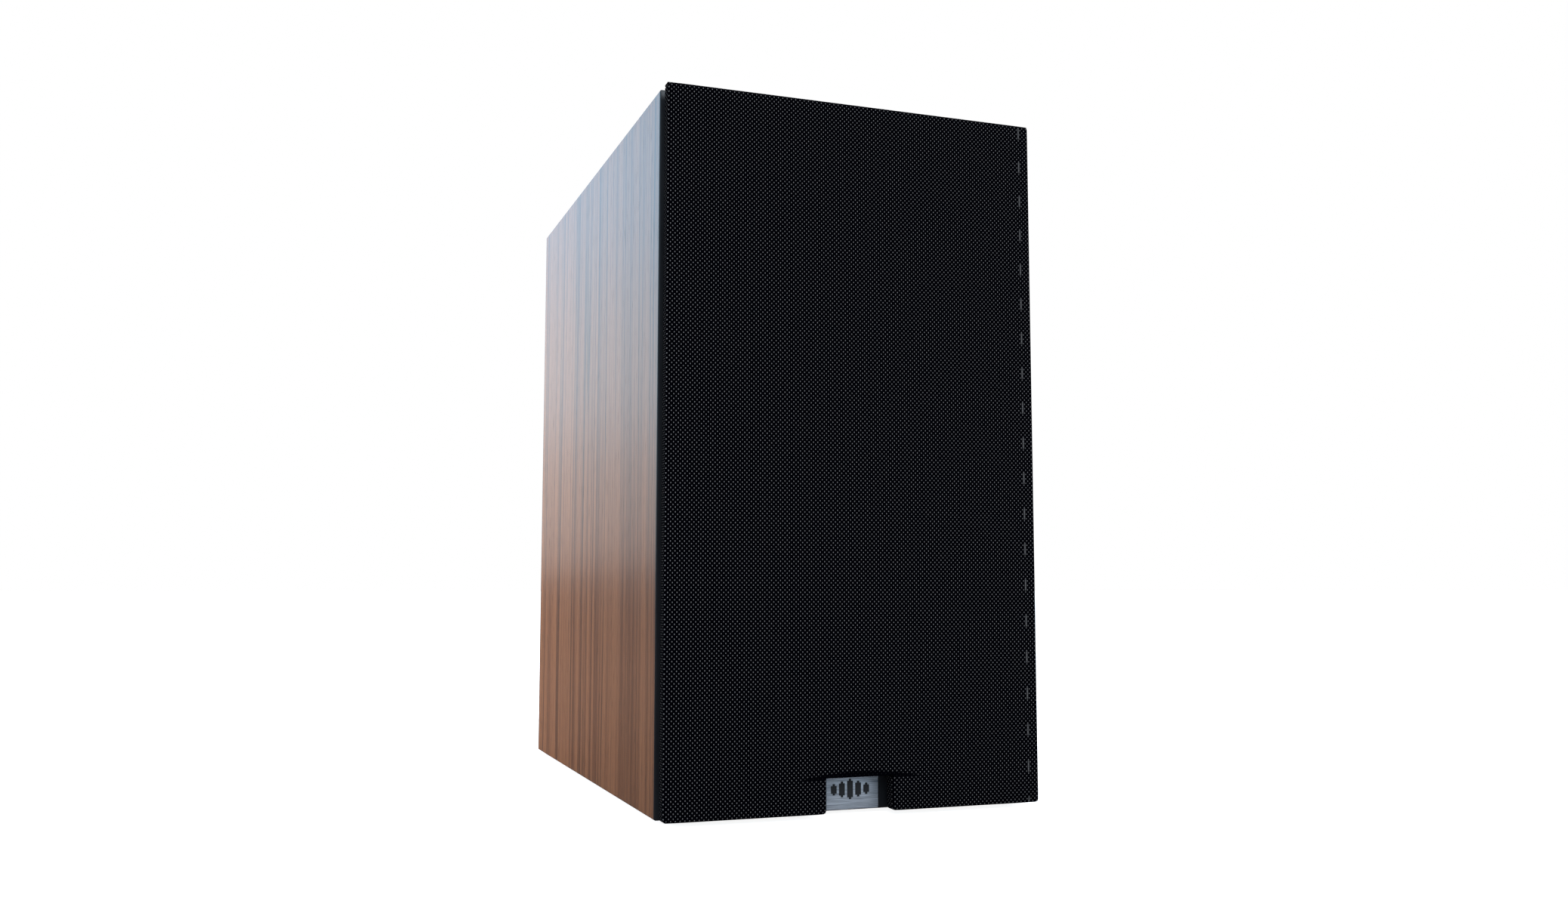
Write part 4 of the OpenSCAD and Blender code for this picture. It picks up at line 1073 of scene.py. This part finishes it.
def screwsAround(name, node, driver, centre, count, start):
    # The driver's fixing screws on their circle, with their heads sunk into its flange
    material = finishes[slotOf[node]]
    piece = screwSource(name, driver["screwHead"], driver["screwShank"], driver["screwLength"], material)
    sunk = centre + Vector((0, driver["screwSunk"], 0))
    runGeometry(piece, aroundTree, {
        "Count": count, "Radius": driver["screwCircle"], "Start": math.radians(start), "Centre": tuple(sunk),
        "Material": material})
    return place(smoothed(piece), "cabinet", slotOf[node], node)


def flexing(piece, slotName, node, moving, centre, still, free):
    # The piece stays with the cabinet at one radius and goes with the moving body at another
    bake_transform(piece, "cabinet", moving, centre, centre + Vector((0, -0.01, 0)))
    weights = piece.data.attributes["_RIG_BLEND"].data
    for vert, weight in zip(piece.data.vertices, weights):
        reach = math.hypot(vert.co.x - centre.x, vert.co.z - centre.z)
        share = min(1.0, max(0.0, (still - reach) / (still - free)))
        weight.value = share * share * (3 - 2 * share)
    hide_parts(node)
    return piece


def millimetres(points):
    return [(radius / 1000, height / 1000) for radius, height in points]


def shellProfile(line, thick):
    # A line of points given a thickness behind it
    return list(line) + [(radius, height - thick) for radius, height in reversed(line)]


# Woofer

wooferAt = Vector((0, baffleY, wooferZ))
woofer = {
    "neck": 15.5, "coneTop": 54.5, "rim": 58.4, "rimHeight": 0.2, "low": -25.8, "deep": 26, "power": 0.86,
    "thick": 1.0,
    "ribs": 24, "ribHeight": 0.10, "capRadius": 30, "capRise": 9, "capThick": 0.8,
    "rollMid": 65, "rollRadius": 6.0, "rubber": 0.8, "top": 0.5, "lipIn": 55.5, "lipOut": 75.4,
    "spiderIn": 15.7, "spiderFlat": 44, "spiderOut": 50.8, "spiderHeight": -37.8, "waves": 5, "wave": 1.3,
    "screwCircle": 0.081, "screwHead": (0.0039, 0.0019, 0.0004), "screwShank": 0.0020, "screwLength": 0.0153,
    "screwSunk": 0.0017, "gapMiddle": -57.8, "windingHeight": 14.0, "windingRadius": 0.01585, "turns": 38,
    "wire": 0.17,
    "ringLine": [(72.5, 1.3), (72.5, 2.2), (72.7, 2.5), (73.1, 2.62), (76.8, 2.62), (77.3, 2.45), (77.5, 2.1),
                 (77.5, 0.5), (75.7, 0.5), (75.7, 1.3)],
    "surroundFlex": (0.0706, 0.0592), "spiderFlex": (0.0445, 0.0160), "leadsFlex": (0.0600, 0.0180),
}


def coneHeight(radius):
    share = max(0.0, (radius - woofer["neck"]) / (woofer["coneTop"] - woofer["neck"]))
    return woofer["low"] + woofer["deep"] * share ** woofer["power"]


def makeWooferCone():
    line = []
    steps = woofer["ribs"] * 6
    for step in range(steps + 1):
        radius = woofer["neck"] + (woofer["coneTop"] - woofer["neck"]) * step / steps
        rib = woofer["ribHeight"] * math.sin(2 * math.pi * step / 6)
        line.append((radius, coneHeight(radius) + rib))
    line.append((woofer["rim"], woofer["rimHeight"]))
    profile = millimetres(shellProfile(line, woofer["thick"]))
    piece = lathe("wooferCone", wooferAt, profile, finishes["cone_paper"], steps=128, smoothAngle=50)
    place(piece, "woofer_piston", "cone_paper", "woofer_cone")
    # Dust cap: a spherical cap whose rim sits on the cone
    radius, rise = woofer["capRadius"], woofer["capRise"]
    sphere = (radius ** 2 + rise ** 2) / (2 * rise)
    foot = coneHeight(radius)
    line = []
    for step in range(25):
        reach = radius * step / 24
        line.append((max(reach, 0.01), foot + math.sqrt(sphere ** 2 - reach ** 2) - (sphere - rise)))
    profile = millimetres(shellProfile(line, woofer["capThick"]))
    piece = lathe("dustCap", wooferAt, profile, finishes["cone_paper"], steps=96, smoothAngle=50)
    place(piece, "woofer_piston", "cone_paper", "woofer_dust_cap")


def rollLine(middleRadius, radius, height, count=28):
    return [(middleRadius + radius * math.cos(math.pi * (1 - step / count)),
             height + radius * math.sin(math.pi * step / count)) for step in range(count + 1)]


def makeWooferSurround():
    height = woofer["top"] + woofer["rubber"]
    roll = rollLine(woofer["rollMid"], woofer["rollRadius"] + 0.4, height)
    line = [(woofer["lipIn"], height), (roll[0][0] - 0.3, height)] + roll[1:-1]
    line += [(roll[-1][0] + 0.3, height), (woofer["lipOut"], height)]
    under = rollLine(woofer["rollMid"], woofer["rollRadius"] - 0.4, height - woofer["rubber"])
    back = [(woofer["lipOut"], height - woofer["rubber"])] + list(reversed(under))
    back += [(woofer["lipIn"], height - woofer["rubber"])]
    piece = lathe("wooferSurround", wooferAt, millimetres(line + back), finishes["surround_rubber"], steps=128,
                  smoothAngle=50)
    flexing(piece, "surround_rubber", "woofer_surround", "woofer_piston", wooferAt, *woofer["surroundFlex"])


def makeWooferSpider():
    line = []
    steps = woofer["waves"] * 12
    for step in range(steps + 1):
        radius = woofer["spiderIn"] + (woofer["spiderFlat"] - woofer["spiderIn"]) * step / steps
        wave = woofer["wave"] * math.sin(2 * math.pi * woofer["waves"] * step / steps)
        line.append((radius, woofer["spiderHeight"] + 0.3 + wave))
    landing = woofer["spiderHeight"] - 0.55
    line += [(woofer["spiderFlat"] + 1.6, landing), (woofer["spiderOut"], landing)]
    piece = lathe("wooferSpider", wooferAt, millimetres(shellProfile(line, 0.55)), finishes["spider_cloth"],
                  steps=96, smoothAngle=60)
    flexing(piece, "spider_cloth", "woofer_spider", "woofer_piston", wooferAt, *woofer["spiderFlex"])


def makeWooferRing():
    piece = lathe("trimRing", wooferAt, millimetres(woofer["ringLine"]), finishes["trim_plastic"], steps=160)
    place(piece, "cabinet", "trim_plastic", "woofer_trim_ring")


def makeWinding(name, node, body, turns, radius, height, wire, start):
    # The spiral fills the whole height from its start outwards
    material = finishes[slotOf[node]]
    piece = addObject(name, bpy.data.meshes.new(name), material)
    runGeometry(piece, windingTree, {
        "Turns": float(turns), "Radius": radius, "Height": height, "Wire": wire, "Centre": tuple(start),
        "Material": material})
    return place(smoothed(piece, 60), body, slotOf[node], node)


def makeLeads():
    bm = bmesh.new()
    bm.from_mesh(nodes["woofer_leads"].data)
    bmesh.ops.remove_doubles(bm, verts=bm.verts, dist=1e-6)
    piece = finishMesh("tinselLeads", bm, finishes["tinsel_copper"], 80)
    flexing(piece, "tinsel_copper", "woofer_leads", "woofer_piston", wooferAt, *woofer["leadsFlex"])


makeWooferCone()
makeWooferSurround()
makeWooferSpider()
makeWooferRing()
makeLeads()
makeWinding("wooferWinding", "woofer_coil_winding", "woofer_piston", woofer["turns"], woofer["windingRadius"],
            woofer["windingHeight"] / 1000 - 0.0006, woofer["wire"] / 1000,
            wooferAt + Vector((0, (-woofer["gapMiddle"] + woofer["windingHeight"] / 2) / 1000 - 0.0003, 0)))
screwsAround("wooferScrews", "woofer_screws", woofer, wooferAt, 6, 90)
for name, width in {"woofer_basket": 0.0004, "woofer_gasket": 0.0003, "woofer_top_plate": 0.0006,
                    "woofer_magnet": 0.0008, "woofer_back_plate": 0.0008, "driver_terminals": 0.0001}.items():
    softened(name, width, angle=40)
print("woofer")


# Tweeter

tweeterAt = Vector((0, baffleY, tweeterZ))
tweeter = {
    "diaphragm": -15.0, "dome": 12.7, "domeRise": 4.6, "rollRadius": 1.45, "lipOut": 19.0,
    "guardRadius": 17.2, "guardRise": 6.0, "guardLow": -12.75, "pitch": 2.0, "wire": 0.21,
    "screwCircle": 0.051, "screwHead": (0.0032, 0.0017, 0.0004), "screwShank": 0.0016, "screwLength": 0.0132,
    "screwSunk": 0.0018, "silk": 0.35, "flex": (0.0160, 0.0132),
}


def makeDome():
    radius, rise, low = tweeter["dome"], tweeter["domeRise"], tweeter["diaphragm"] + 0.2
    sphere = (radius ** 2 + rise ** 2) / (2 * rise)
    line = []
    for step in range(25):
        reach = radius * step / 24
        line.append((max(reach, 0.01), low + math.sqrt(sphere ** 2 - reach ** 2) - (sphere - rise)))
    piece = lathe("tweeterDome", tweeterAt, millimetres(shellProfile(line, tweeter["silk"])),
                  finishes["dome_silk"],
                  steps=80, smoothAngle=60)
    place(piece, "tweeter_piston", "dome_silk", "tweeter_dome")
    height = tweeter["diaphragm"] + 0.4
    roll = rollLine(radius + 0.4 + tweeter["rollRadius"], tweeter["rollRadius"], height, 18)
    line = [(radius - 0.1, height)] + roll + [(roll[-1][0] + 0.2, height), (tweeter["lipOut"], height)]
    piece = lathe("tweeterSurround", tweeterAt, millimetres(shellProfile(line, tweeter["silk"])),
                  finishes["dome_silk"],
                  steps=80, smoothAngle=60)
    flexing(piece, "dome_silk", "tweeter_surround", "tweeter_piston", tweeterAt, *tweeter["flex"])


def makeGuard():
    # Triangular lattice over a spherical cap, made into a net, with a rim
    radius, rise = tweeter["guardRadius"] / 1000, tweeter["guardRise"] / 1000
    sphere = (radius ** 2 + rise ** 2) / (2 * rise)
    pitch = tweeter["pitch"] / 1000
    bm = bmesh.new()
    rows = int(radius / pitch / 0.866) + 2
    grid = {}
    for row in range(-rows, rows + 1):
        for column in range(-2 * rows, 2 * rows + 1):
            x = (column + 0.5 * (row % 2)) * pitch
            z = row * pitch * 0.866
            if math.hypot(x, z) < radius + pitch * 0.6:
                reach = min(math.hypot(x, z), radius)
                out = math.sqrt(sphere ** 2 - reach ** 2) - (sphere - rise)
                shrink = min(1.0, (radius - 0.0001) / max(math.hypot(x, z), 1e-6))
                grid[row, column] = bm.verts.new(tweeterAt + Vector((
                    x * shrink, -(tweeter["guardLow"] / 1000 + out), z * shrink)))
    for (row, column), vert in grid.items():
        shift = row % 2
        right = grid.get((row, column + 1))
        for other in (grid.get((row + 1, column + shift)), grid.get((row - 1, column + shift))):
            if right and other:
                bm.faces.new((vert, right, other))
    bmesh.ops.remove_doubles(bm, verts=bm.verts, dist=pitch * 0.25)
    bmesh.ops.dissolve_degenerate(bm, edges=bm.edges, dist=1e-6)
    net = finishMesh("meshGuard", bm, finishes["mesh_steel"], 80)
    runGeometry(net, guardTree, {"Wire": tweeter["wire"] / 1000, "Material": finishes["mesh_steel"]})
    place(smoothed(net, 60), "cabinet", "mesh_steel", "tweeter_mesh")
    rim = millimetres([(tweeter["guardRadius"] - 0.6, tweeter["guardLow"]),
                       (tweeter["guardRadius"] - 0.6, tweeter["guardLow"] + 0.6),
                       (tweeter["guardRadius"] - 0.3, tweeter["guardLow"] + 0.8), (tweeter["guardRadius"],
                           tweeter["guardLow"] + 0.6),
                       (tweeter["guardRadius"], tweeter["guardLow"])])
    place(lathe("guardRim", tweeterAt, rim, finishes["mesh_steel"], steps=80), "cabinet", "mesh_steel")


makeDome()
makeGuard()
screwsAround("tweeterScrews", "tweeter_screws", tweeter, tweeterAt, 4, 45)
for name, width in {"tweeter_waveguide": 0.0003, "tweeter_gasket": 0.0002, "tweeter_top_plate": 0.0004,
                    "tweeter_magnet": 0.0005, "tweeter_back_plate": 0.0005, "tweeter_rear_cup": 0.0006}.items():
    softened(name, width, angle=40)
print("tweeter")


# Port and terminals

port = {"bore": 25, "flare": 10, "wall": 2.5, "collarOut": 39, "collarRise": 2.5, "length": 122}


def makePort():
    out, inner = port["collarRise"], port["collarRise"] - port["length"]
    bore, curl, wallOut = port["bore"], port["flare"], port["bore"] + port["wall"]
    spigot = bore + curl
    line = [(port["collarOut"] - 0.8, out), (spigot + 0.6, out)]
    for step in range(13):
        angle = math.radians(90 - 7.5 * step)
        line.append((spigot - curl * math.cos(angle), out - curl + curl * math.sin(angle)))
    line += [(bore, out - curl - (out - curl - inner - curl) * step / 4) for step in range(1, 4)]
    for step in range(13):
        angle = math.radians(7.5 * step)
        line.append((spigot - curl * math.cos(angle), inner + curl - curl * math.sin(angle)))
    line += [(spigot + 1.2, inner + 0.2), (wallOut + 6, inner + 3), (wallOut, inner + curl),
             (wallOut, -curl - 4),
             (spigot, -curl), (spigot, 0), (port["collarOut"], 0), (port["collarOut"], out - 0.8),
             (port["collarOut"] - 0.25, out - 0.25)]
    piece = lathe("portTube", Vector((0, backY, portZ)), millimetres(line), finishes["trim_plastic"],
                  outward=1, steps=128, smoothAngle=40)
    place(piece, "cabinet", "trim_plastic", "port_tube")


cupZ = middle("terminal_cup").z
posts = {"spacing": 0.0095, "core": 0.0030, "crest": 0.00348, "pitch": 0.0010, "socket": 0.0020,
         "socketDeep": 0.0175,
         "threadFrom": -0.0085, "washerEase": 0.0002, "nutEase": 0.0003}


def makePost(name, side):
    # Turned shaft with a plug socket and a rolled thread
    low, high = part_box("binding_posts")
    start, end = low.y - backY, high.y - backY
    centre = Vector((side * posts["spacing"], backY, cupZ))
    core, crest, bore = posts["core"], posts["crest"], posts["socket"]
    shaft = [(0.00002, start), (core - 0.0004, start), (core, start + 0.0004),
             (core, posts["threadFrom"] - 0.0004),
             (crest, posts["threadFrom"] - 0.0004), (crest, posts["threadFrom"]), (core, posts["threadFrom"]),
             (core, end - 0.0004), (core - 0.0003, end), (bore + 0.0003, end), (bore, end - 0.0003),
             (bore, end - posts["socketDeep"]), (0.00002, end - posts["socketDeep"] - 0.0008)]
    body = lathe(name, centre, shaft, finishes["terminal_brass"], outward=1, steps=48, closed=False,
                 smoothAngle=40)
    place(body, "cabinet", "terminal_brass", "binding_posts")
    bm = bmesh.new()
    steps = 32
    pitch = posts["pitch"]
    turns = int((end - 0.0005 - posts["threadFrom"]) / pitch) - 1
    form = ((core - 0.00002, 0.0), (core, 0.12), (crest, 0.42), (crest, 0.58), (core, 0.88),
            (core - 0.00002, 1.0))
    last = None
    for step in range(turns * steps + 1):
        angle = 2 * math.pi * step / steps
        row = []
        for radius, share in form:
            y = posts["threadFrom"] + pitch * (step / steps + share)
            row.append(bm.verts.new(centre + Vector((radius * math.cos(angle), y, radius * math.sin(angle)))))
        if last:
            for index in range(len(form) - 1):
                bm.faces.new((last[index], row[index], row[index + 1], last[index + 1]))
        last = row
    thread = finishMesh(name + "Thread", bm, finishes["terminal_brass"], 50)
    place(thread, "cabinet", "terminal_brass")


makePort()
makePost("postRed", -1)
makePost("postBlack", 1)
for name, width in {"terminal_cup": 0.0007, "post_rear_nuts": 0.0002, "post_collar_red": 0.0003,
                    "post_collar_black": 0.0003, "terminal_screws": 0.0003}.items():
    softened(name, width, angle=35)
for colour in ("red", "black"):
    softened("post_washer_" + colour, posts["washerEase"], colour + "_washer", angle=35)
    softened("post_nut_" + colour, posts["nutEase"], colour + "_nut", segments=3, angle=30)
print("back")


# Wadding, crossover and wires

pad = {
    "cuts": 19, "crown": 0.34, "crownPower": 7, "sidePull": 0.012, "edgePull": 0.010,
    "lump": 0.0006, "fineLump": 0.0003, "slack": 0.93,
}


def makePad(name, low, high):
    # A batt of wadding: crowned faces, edges that pull in, a lumpy surface
    centre, half = (low + high) / 2, (high - low) / 2
    thin = min(range(3), key=lambda axis: half[axis])
    bm = bmesh.new()
    bmesh.ops.create_cube(bm, size=2)
    bmesh.ops.subdivide_edges(bm, edges=bm.edges, cuts=pad["cuts"], use_grid_fill=True)
    for vert in bm.verts:
        spot = vert.co.copy()
        for axis in range(3):
            if axis == thin:
                crown = 1.0
                for other in range(3):
                    if other != thin:
                        crown *= 1 - pad["crown"] * abs(spot[other]) ** pad["crownPower"]
                vert.co[axis] = spot[axis] * half[axis] * crown
            else:
                side = 1 - spot[3 - thin - axis] ** 2
                pull = 1 - pad["sidePull"] * side - pad["edgePull"] * abs(spot[thin]) ** 3
                vert.co[axis] = spot[axis] * half[axis] * pull
        lump = noise.noise(spot * 3 + centre * 40) * pad["lump"]
        lump += noise.noise(spot * 11 + centre * 40) * pad["fineLump"]
        vert.co[thin] *= pad["slack"]
        vert.co[thin] += lump * (1 if spot[thin] > 0 else -1)
        vert.co += centre
    piece = finishMesh(name, bm, finishes["wadding"], 70)
    place(piece, "cabinet", "wadding", "damping_pads")


def makePads():
    # One batt for each loose part of the CAD node
    bm = bmesh.new()
    bm.from_mesh(nodes["damping_pads"].data)
    bmesh.ops.remove_doubles(bm, verts=bm.verts, dist=1e-6)
    left = set(bm.verts)
    count = 0
    while left:
        group, edge = set(), [next(iter(left))]
        while edge:
            vert = edge.pop()
            if vert in group:
                continue
            group.add(vert)
            edge += [e.other_vert(vert) for e in vert.link_edges]
        left -= group
        low = Vector([min(v.co[axis] for v in group) for axis in range(3)])
        high = Vector([max(v.co[axis] for v in group) for axis in range(3)])
        count += 1
        makePad("pad%d" % count, low, high)
    bm.free()


def windingProfile(inner, outer, height, wire):
    # Turns of wire seen on the outside of a square-cut coil
    points = []
    corners = ((inner, 0), (outer, 0), (outer, height), (inner, height))
    for index in range(4):
        one, two = Vector(corners[index]), Vector(corners[(index + 1) % 4])
        along = two - one
        count = max(2, round(along.length / wire))
        normal = Vector((along.y, -along.x)).normalized()
        for turn in range(count):
            for share, lift in ((0.08, 0.0), (0.3, 0.33), (0.5, 0.42), (0.7, 0.33), (0.92, 0.0)):
                spot = one + along * ((turn + share) / count) + normal * (lift - 0.42) * wire
                points.append((spot.x, spot.y))
    return points


def uprightLathe(name, centre, profile, material, steps=64, smoothAngle=50):
    # As lathe, but round the Z axis
    piece = lathe(name, Vector((0, 0, 0)), profile, material, outward=1, steps=steps, smoothAngle=smoothAngle)
    piece.data.transform(Matrix.Translation(centre) @ Matrix.Rotation(math.pi / 2, 4, "X"))
    return piece


def lyingLathe(name, centre, profile, material, steps=48, smoothAngle=40):
    # As lathe, but round the X axis
    piece = lathe(name, Vector((0, 0, 0)), profile, material, outward=1, steps=steps, smoothAngle=smoothAngle)
    piece.data.transform(Matrix.Translation(centre) @ Matrix.Rotation(-math.pi / 2, 4, "Z"))
    return piece


def wireLine(name, points, radius, material, sides=8, smooth=6):
    # Round wire through points, with a Catmull-Rom line
    path = []
    padded = [points[0]] + list(points) + [points[-1]]
    for index in range(1, len(padded) - 2):
        a, b, c, d = (Vector(padded[index + k]) for k in (-1, 0, 1, 2))
        for step in range(smooth):
            t = step / smooth
            path.append(0.5 * (2 * b + (c - a) * t + (2 * a - 5 * b + 4 * c - d) * t ** 2
                               + (3 * b - a - 3 * c + d) * t ** 3))
    path.append(Vector(points[-1]))
    bm = bmesh.new()
    last = None
    side = Vector((0.3, 0.9, 0.2))
    for index, spot in enumerate(path):
        ahead = (path[min(index + 1, len(path) - 1)] - path[max(index - 1, 0)]).normalized()
        side = (side - ahead * side.dot(ahead)).normalized()
        up = ahead.cross(side)
        row = []
        for k in range(sides):
            angle = 2 * math.pi * k / sides
            row.append(bm.verts.new(spot + (side * math.cos(angle) + up * math.sin(angle)) * radius))
        if last:
            for k in range(sides):
                after = (k + 1) % sides
                bm.faces.new((last[k], last[after], row[after], row[k]))
        else:
            bm.faces.new(row)
        last = row
    bm.faces.new(last)
    return finishMesh(name, bm, material, 60)


def joined(name, pieces):
    # Several meshes made one piece
    bm = bmesh.new()
    for piece in pieces:
        bm.from_mesh(piece.data)
    mesh = bpy.data.meshes.new(name)
    bm.to_mesh(mesh)
    bm.free()
    material = pieces[0].data.materials[0]
    for piece in pieces:
        bpy.data.objects.remove(piece)
    return addObject(name, mesh, material)


board = {
    "coils": ((-36, 16, 8, 19, 20), (38, 20, 6, 15, 16), (44, -24, 5, 11, 12)), "coilWire": 1.0,
    "capacitors": ((2, -30, 9, 36), (2, -8, 7, 30), (-40, -26, 7, 28)),
    "resistors": ((2, 12), (2, 28)), "resistorLength": 24, "resistorSide": 8, "leadRadius": 0.0004,
}


def leadPair(route):
    # The same bent lead at each end of a part
    return [wireLine("lead", route(way), board["leadRadius"], finishes["terminal_brass"]) for way in (-1, 1)]


def makeBoardParts():
    low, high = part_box("crossover_board")
    middleX, middleY, top = (low.x + high.x) / 2, (low.y + high.y) / 2, high.z

    def at(x, y, z=0.0):
        return Vector((middleX + x / 1000, middleY + y / 1000, top + z / 1000))

    coils, leads, films, cements = [], [], [], []
    for x, y, inner, outer, height in board["coils"]:
        profile = millimetres(windingProfile(inner, outer, height, board["coilWire"]))
        coils.append(uprightLathe("coil", at(x, y), profile, finishes["copper_wire"]))
        leads += leadPair(lambda way: [
            at(x + way * outer * 0.8, y - outer * 0.62, 2), at(x + way * outer * 0.8, y - outer * 0.8, 3),
            at(x + way * outer * 0.7, y - outer - 0.6, 1.5),
            at(x + way * outer * 0.7, y - outer - 0.8, -0.3)])
    for x, y, radius, length in board["capacitors"]:
        half = length / 2
        profile = millimetres([
            (0.02, -half + 0.5), (radius - 2.2, -half + 0.5), (radius - 1.6, -half), (radius - 0.5, -half),
            (radius, -half + 0.6), (radius, half - 0.6), (radius - 0.5, half), (radius - 1.6, half),
            (radius - 2.2, half - 0.5), (0.02, half - 0.5)])
        films.append(lyingLathe("film", at(x, y, radius), profile, finishes["capacitor_film"]))
        leads += leadPair(lambda way: [
            at(x + way * (half - 0.6), y, radius), at(x + way * (half + 1.6), y, radius),
            at(x + way * (half + 2.6), y, radius - 1.4), at(x + way * (half + 2.6), y, -0.3)])
    for x, y in board["resistors"]:
        length, side = board["resistorLength"], board["resistorSide"]
        bm = bmesh.new()
        bmesh.ops.create_cube(bm, size=1)
        bmesh.ops.transform(bm, verts=bm.verts, matrix=Matrix.Translation(at(x, y, side / 2)) @ Matrix.Diagonal(
            (length / 1000, side / 1000, side / 1000, 1)))
        bmesh.ops.bevel(bm, geom=list(bm.edges), offset=0.0006, segments=2, affect="EDGES")
        cements.append(finishMesh("cement", bm, finishes["resistor_cement"], 40))
        half = length / 2
        leads += leadPair(lambda way: [
            at(x + way * (half - 0.6), y, side / 2), at(x + way * (half + 1.4), y, side / 2),
            at(x + way * (half + 2.2), y, side / 2 - 1.2), at(x + way * (half + 2.2), y, -0.3)])
    place(joined("chokes", coils), "cabinet", "copper_wire", "crossover_coils")
    place(joined("filmCapacitors", films), "cabinet", "capacitor_film", "crossover_capacitors")
    place(joined("cementResistors", cements), "cabinet", "resistor_cement", "crossover_resistors")
    place(joined("boardLeads", leads), "cabinet", "terminal_brass")


makePads()
makeBoardParts()
for name, width in {"crossover_board": 0.0002, "crossover_screws": 0.0003, "baffle_magnets": 0.0003}.items():
    softened(name, width, angle=35)
softened("grille_magnets", 0.0003, "grille", angle=35)
for name in ("wiring_red", "wiring_black"):
    softened(name, 0, angle=80, subdivide=1)
print("inside")
